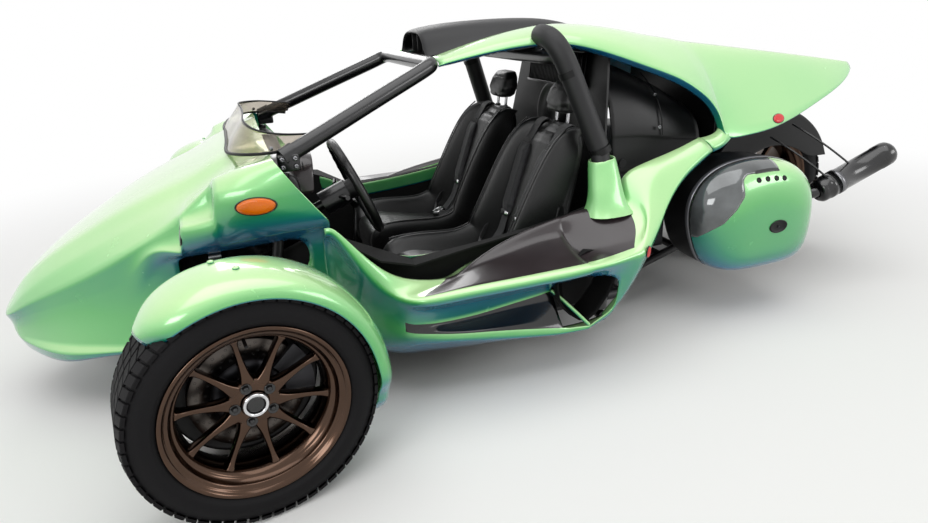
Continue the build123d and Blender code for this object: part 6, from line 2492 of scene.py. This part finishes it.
@dataclass(frozen=True)
class RollBars:
    """The padded main hoop with its bands, and the bent front hoop in its bolted clamps."""

    # the main hoop's left half, from its foot to the top
    route: tuple = ((-250, 556, 150), (-250, 556, 190), (-262, 546, 480), (-282, 486, 672),
                    (-222, 458, 834), (-180, 437, 944), (-170, 426, 972), (-162, 400, 988),
                    (-157, 360, 986), (-156, 300, 985), (-156, 150, 985), (-156, 0, 985))
    # the padded sleeve's line, from above the flare to where it meets the rail from outside
    sleeve: tuple = ((-271, 481, 700), (-222, 458, 834), (-184, 440, 940), (-158, 425, 1004),
                     (-142, 398, 1038), (-138, 355, 1050), (-138, 325, 1050))
    # the front hoop's left half, from its clamp to the middle
    front: tuple = ((716, 464, 785), (600, 426, 832), (420, 367, 906), (280, 322, 962), (240, 309, 980),
                    (229, 285, 984), (229, 230, 985), (229, 100, 985), (229, 0, 985))

    def whole(self, half: Sequence[Point]) -> list[Point]:
        """The full route, right foot to left foot."""
        return [(x, -y, z) for x, y, z in half] + list(half)[-2::-1]

    def build(self) -> None:
        """Makes both hoops."""
        parts = [hose("core", self.whole(self.route), 26, TUBE_PAINT, order=3, sides=8)]
        start, end = Vector(self.route[3]), Vector(self.route[5])
        step = (end - start).normalized() * 11
        for side in Side:
            cuff = mirrored([self.route[2], self.route[3], self.sleeve[0]], side)
            for name, line, radius in (("sleeve", mirrored(self.sleeve, side), 35.0), ("cuff", cuff, 31.0)):
                parts.append(hose(name, line, radius, FOAM_SLEEVE, order=3, sides=8))
            for share in (0.05, 0.97):
                mid = start.lerp(end, share)
                parts.append(rod("band", *mirrored([mid - step, mid + step], side), 36.2, RUBBER_TRIM,
                    sides=8))
        keep_joined("main_hoop_pads", parts, "hoop_pad", "main_hoop")
        parts = [hose("tube", self.whole(self.front), 24, TUBE_PAINT, order=3, sides=8)]
        for side in Side:
            parts.append(solid_box("clamp", (690, 450 * side, 742), (750, 492 * side, 790), TUBE_PAINT, 6))
            for x, z in ((702, 756), (702, 778), (738, 756), (738, 778)):
                bolt = spun("bolt", [(0, 0), (0, 8), (2, 8), (6, 6), (6.5, 3), (4, 2.5), (4, 0)], STEEL, 6)
                parts.append(stand(bolt, (x, 492 * side, z), (0, side, 0), (1, 0, 0)))
            strap = mirrored([(736, 471, 777), (700, 459, 792)], side)
            parts.append(rod("strap", *strap, 27.5, TUBE_PAINT, sides=8))
        keep_joined("front_hoop_tube", parts, "black_steel", "front_hoop")


@dataclass(frozen=True)
class Springs:
    """Coil springs round the dampers, two in front and one behind."""

    def strut(self, low: Point, high: Point, radius: float, wire: float, turns: float) -> list[Obj]:
        """One damper: rod, body, seats, eyes and its coil.

        Args:
            low: The lower eye's middle.
            high: The upper eye's middle.
            radius: The coil's radius.
            wire: Half the thickness of its wire.
            turns: How many turns it has.

        Returns:
            The pieces.
        """
        def at(share: float) -> Vector:
            """A place between the two ends."""
            return Vector(low).lerp(Vector(high), share)

        parts = []
        for name, start, end, thick, finish, sides in (
                ("rod", 0.02, 0.5, 7, CHROME, 6), ("body", 0.40, 0.97, 15, DARK_STEEL, 6),
                ("low_seat", 0.10, 0.135, radius + wire, DARK_STEEL, 10),
                ("high_seat", 0.83, 0.87, radius + wire, DARK_STEEL, 10)):
            parts.append(rod(name, at(start), at(end), thick, finish, sides))
        parts.append(coil("coil", at(0.13), at(0.84), radius, wire, turns, SPRING_PAINT))
        for x, y, z in (low, high):
            parts.append(rod("eye", (x - 17, y, z), (x + 17, y, z), 15, STEEL))
        return parts

    def build(self) -> None:
        """Makes the three struts."""
        front = []
        for side in Side:
            low, high = mirrored([(960, 640, 224), (960, 438, 512)], side)
            front += self.strut(low, high, 25, 5, 8)
        keep_joined("front_coils", front, "shock_steel", "front_shocks")
        rear = self.strut((-973, 0, 351), (-817.7, 0, 526), 33, 6.5, 6)
        keep_joined("rear_coil", rear, "shock_steel", "rear_shock")


@dataclass(frozen=True)
class Exhausts:
    """Two long black silencers with collars, clamps and drilled outlets."""

    route: tuple = ((-706.6, 215.3, 400), (-706.6, 290, 400), (-1190, 290, 386),
                    (-1262, 330, 382), (-1292, 436, 376), (-1350, 442, 395))
    can_start: tuple[float, float, float] = (-1325, 440, 386)
    can_end: tuple[float, float, float] = (-1664, 458, 516)
    radius: float = 48.0

    def can(self, side: Side) -> list[Obj]:
        """One silencer, made about its axis.

        Args:
            side: The car's side.

        Returns:
            The pieces, in place.
        """
        start, end = (Vector(p) for p in mirrored([self.can_start, self.can_end], side))
        length = (end - start).length
        front = ((3, -8), (12, -1), (20, 0), (46, 0), (47, 2.2), (66, 2.2), (67, 0))
        back = ((-58, 0), (-57, 1.6), (-16, 1.6), (-6, -1), (0, -6), (1, -12), (-4, -15), (-12, -16),
                (-90, -16))
        r = self.radius
        section = [(0, 22 - r), *front, *((length + y, out) for y, out in back), (length - 90, -r)]
        pieces = [spun("can", section, PIPE_BLACK, 64, r=r), spun("clamp",
            [(84, 0), (84, 3), (104, 3), (104, 0)], STEEL, 64, r=r), spun("rim",
            [(-1, -13), (2, -12), (2, -7), (-1, -5)], STEEL, 64, closed=True, y=length, r=r)]
        for k in range(4):
            rivet = spun("rivet", [(0, 0), (0, 3), (1.4, 2.4), (2, 0)], STEEL, 10)
            out = Vector((math.sin(k * 1.57 + 0.4), 0, math.cos(k * 1.57 + 0.4)))
            pieces.append(stand(rivet, Vector((0, length - 36, 0)) + out * (r + 1.4), out))
        return [stand(piece, start, (end - start).normalized()) for piece in pieces]

    def build(self) -> None:
        """Makes both sides."""
        parts = []
        for side in Side:
            parts.append(hose("pipe", mirrored(self.route, side), 22, PIPE_BLACK, order=3))
            parts += self.can(side)
            (x0, _, z0), (x1, _, z1) = self.can_start, self.can_end
            for x in (-1360, -1470):
                z = z0 + (z1 - z0) * (x0 - x) / (x0 - x1)
                stay = [(x, 452, z + 44), (x + 60, 360, z + 130), (x + 120, 250, z + 190)]
                parts.append(hose("stay", mirrored(stay, side), 4, TUBE_PAINT))
        keep_joined("exhaust_skins", parts, "exhaust_black", "exhausts")


@dataclass(frozen=True)
class RearGuard:
    """The rear wheel's thin black mudguard on its stays."""

    axle: tuple[float, float] = (-1351.0, 332.0)
    radius: float = 356.0
    half_width: float = 158.0
    start: float = 72.0
    stop: float = 159.0

    def build(self) -> None:
        """Makes the guard over the wheel's rear upper part."""
        rows = []
        steps = 22
        for k in range(steps):
            angle = math.radians(self.start + (self.stop - self.start) * k / (steps - 1))
            end = min(k, steps - 1 - k)
            narrow = (0.80, 0.95)[end] if end < 2 else 1.0
            wide = self.half_width * narrow
            section = ((0, 0), (0.4, 0.6), (0.8, 3), (0.95, 9), (1.0, 24))
            rows.append(both_halves([self.point(self.radius + 1 - drop, wide * share, angle)
                                     for share, drop in section]))
        parts = []
        for name, net in (("guard", rows), *(("plate", self.plate(side)) for side in Side)):
            parts.append(walled(lattice(name, net, SATIN_BLACK, inside=self.point(0, 0, 0)), 3.0))
        keep_joined("rear_guard_skin", parts, "black_trim", "rear_mudguard")

    def point(self, radius: float, y: float, angle: float) -> Point:
        """A point at a distance and an angle round the rear axle."""
        return (self.axle[0] + radius * math.cos(angle), y, self.axle[1] + radius * math.sin(angle))

    def plate(self, side: Side) -> list[list[Point]]:
        """Rows of a side plate that covers the tyre's shoulder and the rim's edge.

        Args:
            side: The car's side.

        Returns:
            The rows, from the front round to the rear.
        """
        rows = []
        for k in range(24):
            share = k / 23
            angle = math.radians(-6 + (160 + 6) * share)
            depth = 152 * math.sin(math.pi * share) ** 0.3
            row = []
            for m in range(6):
                y = (self.half_width + 1 - 1.5 * (m == 5)) * side
                row.append(self.point(self.radius - 14 - depth * m / 5, y, angle))
            rows.append(row)
        return rows


@dataclass(frozen=True)
class Lamps:
    """Turn signals, headlamps, side markers, the tail lamps and their dark housing."""

    nose: Obj
    tail: Obj
    pods: dict

    @staticmethod
    def oval(long: float, tall: float, deep: float, finish: Finish, rim: Finish) -> list[Obj]:
        """An oval lens in a thin rim, about the Y axis, its long side along X.

        Args:
            long: Half its length.
            tall: Half its height.
            deep: How far it stands out.
            finish: The lens's finish.
            rim: The rim's finish.

        Returns:
            The lens and the rim.
        """
        dome = [(-2, 10), (deep * 0.45, 9.85), (deep * 0.78, 8.6), (deep * 0.94, 6), (deep, 2.5), (deep, 0)]
        edge = [(-2, 10.0), (1.6, 10.1), (2.2, 10.5), (1.4, 10.9), (-2, 11.0)]
        lens = spun("lens", dome, finish, 56)
        ring = spun("rim", edge, rim, 56, closed=True)
        for piece, stretch in ((lens, 1.0), (ring, 1.04)):
            piece.data.transform(Matrix.Diagonal((long / 10, 1, tall / 10 * stretch, 1)))
        return [lens, ring]

    def seat(self, pieces: list[Obj], host: Obj, near: Point, across: Point) -> list[Obj]:
        """Puts lamp pieces on a panel."""
        place, normal = surface(host, near)
        return [stand(piece, place, normal, across) for piece in pieces]

    def signals(self) -> None:
        """The amber ovals on the nose's flanks."""
        parts = []
        for side in Side:
            parts += self.seat(self.oval(50, 22, 9, AMBER, GLOSS_BLACK), self.nose, (828, 604 * side, 686),
                               (-0.94, 0.333 * side, 0))
        keep_joined("signal_lenses", parts, "amber", "turn_signals")

    def markers(self) -> None:
        """Small red ovals on the arms and under the tail."""
        parts = []
        for side in Side:
            for long, tall, host, (x, y, z), rise in ((12, 22, self.pods[side], (-318, 735, 402), 0.25),
                                                      (29, 17, self.tail, (-1079, 446, 716), 0.4)):
                parts += self.seat(self.oval(long, tall, 7, RED_LENS, GLOSS_BLACK), host, (x, y * side, z),
                                   (-1, 0, rise))
        keep_joined("side_markers", parts, "red_lens")

    def headlamps(self) -> None:
        """Two projector lamps in the steps on each side."""
        parts = []
        for side in Side:
            way = Vector((0.98, 0.08 * side, 0.17)).normalized()
            for x, y, z, r in ((1033, 487, 602, 23), (930, 520, 696, 26)):
                bowl = [(-4, r + 2), (1, r + 2), (1.5, r), (0, r - 3), (-2, r * 0.6), (-2, 0)]
                lens = [(0, r - 1), (1.5, r * 0.92), (2.8, r * 0.7), (3.6, r * 0.4), (4, 0)]
                bezel = [(-3, r + 1), (1, r + 1), (2, r + 3), (1, r + 5), (-3, r + 6)]
                for name, section, finish in (("bowl", bowl, CHROME), ("lens", lens, PALE_LENS),
                                              ("bezel", bezel, GLOSS_BLACK)):
                    piece = spun(name, section, finish, 48, closed=name == "bezel")
                    parts.append(stand(piece, (x, y * side, z), way))
        keep_joined("head_lamps", parts, "screen")

    def rear(self) -> None:
        """The dark housing under the tail's end with four round red lamps."""
        section = ((-1420, 850), (-1600, 846), (-1652, 842), (-1676, 828), (-1680, 806), (-1664, 782),
                   (-1600, 768), (-1420, 792))
        left = []
        for y, pinch in ((0, 1.0), (70, 1.0), (130, 1.0), (170, 1.0), (190, 0.86), (198, 0.5)):
            left.append([(-1600 + (x + 1600) * pinch, y, 812 + (z - 812) * pinch) for x, z in section])
        right = [mirrored(row, Side.RIGHT) for row in left[:0:-1]]
        parts = [rounded(lattice("bar", right + left, MATT_SHELL, ring=True, caps=True))]
        way = Vector((-0.98, 0, -0.12)).normalized()
        for y in (-142, -78, 78, 142):
            parts += [stand(piece, (-1679, y, 810), way) for piece in self.oval(18, 15, 7, RED_LENS, CHROME)]
        keep_joined("tail_lamp_bar", parts, "red_lens", "tail_lights")

    def build(self) -> None:
        """Makes all lamps."""
        self.signals()
        self.markers()
        self.headlamps()
        self.rear()


@dataclass(frozen=True)
class Vent:
    """The louvred vent and the filter drum behind the hoop, and the window lining in the nose."""

    def build(self) -> None:
        """Makes the slats, their frame, the round cover below and the lining of the nose's windows."""
        parts = [solid_box("back", (-3, -215, -66), (0, 215, 66), SATIN_BLACK, 2)]
        slat = settled(solid_box("slat", (0, -1.2, -58), (16, 1.2, 58), TUBE_PAINT, 0.8))
        placed(slat, turned(-62, "Z"))
        parts.append(row_along("slats", [(2, -204, 0), (2, 204, 0)], slat, 12.0, TUBE_PAINT))
        for z in (-62, 62):
            parts.append(solid_box("rail", (0, -215, z - 4), (14, 215, z + 4), TUBE_PAINT, 2))
        drum = spun("drum", [(-10, 104), (6, 104), (14, 98), (16, 86), (10, 80), (9, 30), (13, 24), (13, 0)],
                    SATIN_BLACK, 64)
        parts = [placed(joined("louvres", parts), moved(-370, 0, 918) @ turned(-7.8, "Y")),
                 stand(drum, (-352, 0, 762), Vector((1, 0, 0.13)).normalized()),
                 solid_box("screen", (-912, -290, 610), (-908, 290, 905), SATIN_BLACK, 1.5),
                 solid_box("closing", (-398, -200, 976), (-394, 200, 1050), SATIN_BLACK, 1.5)]
        keep_joined("bulkhead_vent", parts, "black_trim")
        for side in Side:
            rows = [[(x, y * side, z) for y, z in ((392, 436), (388, 480), (392, 540))]
                    for x in (690, 800, 920, 1040, 1075)]
            panel = lattice(f"window_lining_{side.word}", rows, GLOSS_BLACK, inside=(900, 0, 480))
            keep(walled(panel, 3.0, 1), "gloss_black")


# Camera, light and floor


@dataclass(frozen=True)
class PhotoCamera:
    """The photograph's viewpoint, fitted to the car's known sizes."""

    place: tuple[float, float, float] = (0.84644, 2.27514, 1.13881)
    yaw: float = 0.33674
    pitch: float = 0.38046
    roll: float = -0.04854
    lens: float = 24.39

    def build(self) -> None:
        """Makes the camera and makes it the scene's."""
        look = Vector((-math.sin(self.yaw) * math.cos(self.pitch),
                       -math.cos(self.yaw) * math.cos(self.pitch), -math.sin(self.pitch)))
        right = look.cross(Vector((0, 0, 1))).normalized()
        up = right.cross(look)
        across = right * math.cos(self.roll) + up * math.sin(self.roll)
        upward = up * math.cos(self.roll) - right * math.sin(self.roll)
        data = bpy.data.cameras.new("camera")
        data.lens = self.lens
        data.sensor_width = 36.0
        data.clip_start = 0.02
        data.dof.use_dof = False
        camera = linked("camera", data)
        turn = Matrix((across, upward, -look)).transposed()
        camera.matrix_world = Matrix.Translation(Vector(self.place)) @ turn.to_4x4()
        bpy.context.scene.camera = camera


@dataclass(frozen=True)
class Studio:
    """A pale floor that fades into white, soft boxes and a white world."""

    # name, place, aimed at, size, watts
    lamps: tuple = (
        ("overhead", (0.2, 0.8, 4.4), (-0.1, 0.0, 0.4), (5.5, 4.0), 120.0),
        ("front_left", (3.8, 3.8, 2.6), (0.3, 0.3, 0.4), (2.4, 1.6), 70.0),
        ("rear_left", (-4.0, 3.8, 2.4), (-0.6, 0.2, 0.4), (2.4, 1.6), 60.0),
        ("right", (0.0, -4.8, 2.6), (0.0, 0.0, 0.4), (3.0, 1.6), 55.0),
    )
    surround: float = 0.46
    near: float = 1.6
    far: float = 4.2
    reach: float = 60.0

    def lamp(self, name: str, place: Point, aim: Point, size: tuple, watts: float) -> None:
        """Makes one soft box.

        Args:
            name: Its name.
            place: Where it stands, in metres.
            aim: The point that it lights.
            size: Its two sides, in metres.
            watts: Its power.
        """
        data = bpy.data.lights.new(name, "AREA")
        data.shape = "RECTANGLE"
        data.size, data.size_y = size
        data.energy = watts
        turn = (Vector(aim) - Vector(place)).to_track_quat("-Z", "Y").to_matrix().to_4x4()
        linked(name, data).matrix_world = Matrix.Translation(Vector(place)) @ turn

    def world(self) -> None:
        """A soft grey surround for light, seen as white by the camera and in reflections."""
        world = bpy.data.worlds.new("surround")
        world.use_nodes = True
        bpy.context.scene.world = world
        tree = world.node_tree
        tree.nodes.clear()
        soft, bright = (add_node(tree, "ShaderNodeBackground", {"Color": linear("ffffff"),
            "Strength": strength}) for strength in (self.surround, 1.0))
        both = add_node(tree, "ShaderNodeMixShader", {0: self.seen(tree), 1: soft, 2: bright})
        add_node(tree, "ShaderNodeOutputWorld", {"Surface": both})

    @staticmethod
    def seen(tree: Tree) -> Node:
        """One for rays that the camera sees, straight, mirrored or through glass.

        Args:
            tree: The tree that it is added to.

        Returns:
            The node that gives the one or zero.
        """
        path = add_node(tree, "ShaderNodeLightPath").outputs
        clear = {0: path["Is Camera Ray"], 1: path["Is Transmission Ray"]}
        first = add_node(tree, "ShaderNodeMath", clear, operation="MAXIMUM")
        return add_node(tree, "ShaderNodeMath", {0: first, 1: path["Is Glossy Ray"]}, operation="MAXIMUM")

    def paper(self) -> Material:
        """Matt paper that takes the shadow near the car and fades into the white surround.

        Returns:
            The material.
        """
        material = bpy.data.materials.new("backdrop_paper")
        material.use_nodes = True
        tree = material.node_tree
        shader = tree.nodes["Principled BSDF"]
        feed(tree, shader, {"Base Color": linear("ececea"), "Roughness": 0.9, "Specular IOR Level": 0.1})
        place = add_node(tree, "ShaderNodeTexCoord").outputs["Object"]
        away = add_node(tree, "ShaderNodeVectorMath", {0: place}, operation="LENGTH").outputs["Value"]
        fade = add_node(tree, "ShaderNodeMapRange", {"Value": away, "From Min": self.near,
            "From Max": self.far}, interpolation_type="SMOOTHSTEP")
        share = add_node(tree, "ShaderNodeMath", {0: fade, 1: self.seen(tree)}, operation="MULTIPLY")
        white = add_node(tree, "ShaderNodeEmission", {"Color": linear("ffffff"), "Strength": 1.0})
        both = add_node(tree, "ShaderNodeMixShader", {0: share, 1: shader, 2: white})
        feed(tree, tree.nodes["Material Output"], {"Surface": both})
        return material

    def floor(self) -> None:
        """The floor, which takes the car's shadow."""
        side = self.reach / MM
        floor = mesh_object("floor", [(-side, -side, 0), (side, -side, 0), (side, side, 0), (-side, side, 0)],
                            [(0, 1, 2, 3)])
        floor.data.materials.append(self.paper())

    def build(self) -> None:
        """Sets up floor, lamps and world."""
        self.floor()
        for lamp in self.lamps:
            self.lamp(*lamp)
        self.world()
        bpy.context.scene.view_settings.view_transform = "Standard"


@dataclass(frozen=True)
class Car:
    """The whole car: every sub-assembly in order."""

    track: float = 1750.0
    front_axle: tuple[float, float] = (935.0, 295.5)
    kingpin_inset: float = 105.0
    rear_hub: tuple[float, float, float] = (-1351.0, 0.0, 332.0)
    steer: float = 10.5

    def front_place(self, side: Side) -> Matrix:
        """From a front wheel's own axes to the car's, with the wheel steered about its kingpin.

        Args:
            side: The car's side.

        Returns:
            The move and turn, in metres.
        """
        x, z = self.front_axle
        pin = moved(x, side * (self.track / 2 - self.kingpin_inset), z) @ turned(self.steer, "Z")
        return pin @ moved(0, side * self.kingpin_inset, 0) @ turned(0 if side is Side.LEFT else 180, "Z")

    def bodywork(self) -> None:
        """The painted panels and covers."""
        nose = NoseShell().build()
        pods = {side: SidePod(side).build() for side in Side}
        tail = TailShell().build()
        Lamps(nose, tail, pods).build()
        RoofScoop().build()
        EngineCover().build()
        SideCases().build()
        Windscreen().build()

    def wheels(self) -> None:
        """Three wheels and the two front mudguards."""
        for side in Side:
            word = side.word
            place = self.front_place(side)
            wheel = Wheel(f"front_{word}", f"front_wheel_{word}", 295.5, 205.0, 206.0, 190.0, 34.0,
                          f"front_tyre_{word}", f"front_rim_{word}", disc_node=f"front_disc_{word}")
            wheel.build(place)
            FrontFender(side).build(place.translation, self.steer)
        rear = Wheel("rear", "rear_wheel", 332.0, 295.0, 231.0, 272.0, 60.0, "rear_tyre", "rear_rim")
        rear.build(moved(*self.rear_hub))

    def cockpit(self) -> None:
        """Seats, belts, wheel, dash, lever and pedals."""
        for side in Side:
            Seat(side).build()
            Harness(side).build()
        SteeringWheel().build()
        Dash().build()
        Lever().build()
        PedalPads().build()
        Vent().build()

    def running_gear(self) -> None:
        """Roll bars, springs, exhausts and the rear guard."""
        RollBars().build()
        Springs().build()
        Exhausts().build()
        RearGuard().build()

    def frame_finishes(self) -> None:
        """The CAD pieces that keep their shape."""
        dress(FRAME_PAINT, "lower_frame", "front_frame", "rear_frame", "swingarm")
        dress(CAST, "engine_block", "knuckle_left", "knuckle_right")
        dress(DARK_STEEL, "front_wishbones", "tie_rod_left", "tie_rod_right", "steering_rack",
              "rack_housing")
        dress(LINER, "cockpit_liner")
        dress(SATIN_BLACK, "firewall")
        dress(TUBE_PAINT, "steering_column", "pedals")

    def build(self) -> None:
        """Makes everything, soft pieces first."""
        self.cockpit()
        self.bodywork()
        self.wheels()
        self.running_gear()
        self.frame_finishes()


def main() -> None:
    """Builds the camera, the studio and the car."""
    logging.basicConfig(level=logging.INFO, format="%(message)s")
    PhotoCamera().build()
    Studio().build()
    Car().build()


if __name__ == "__main__":
    main()
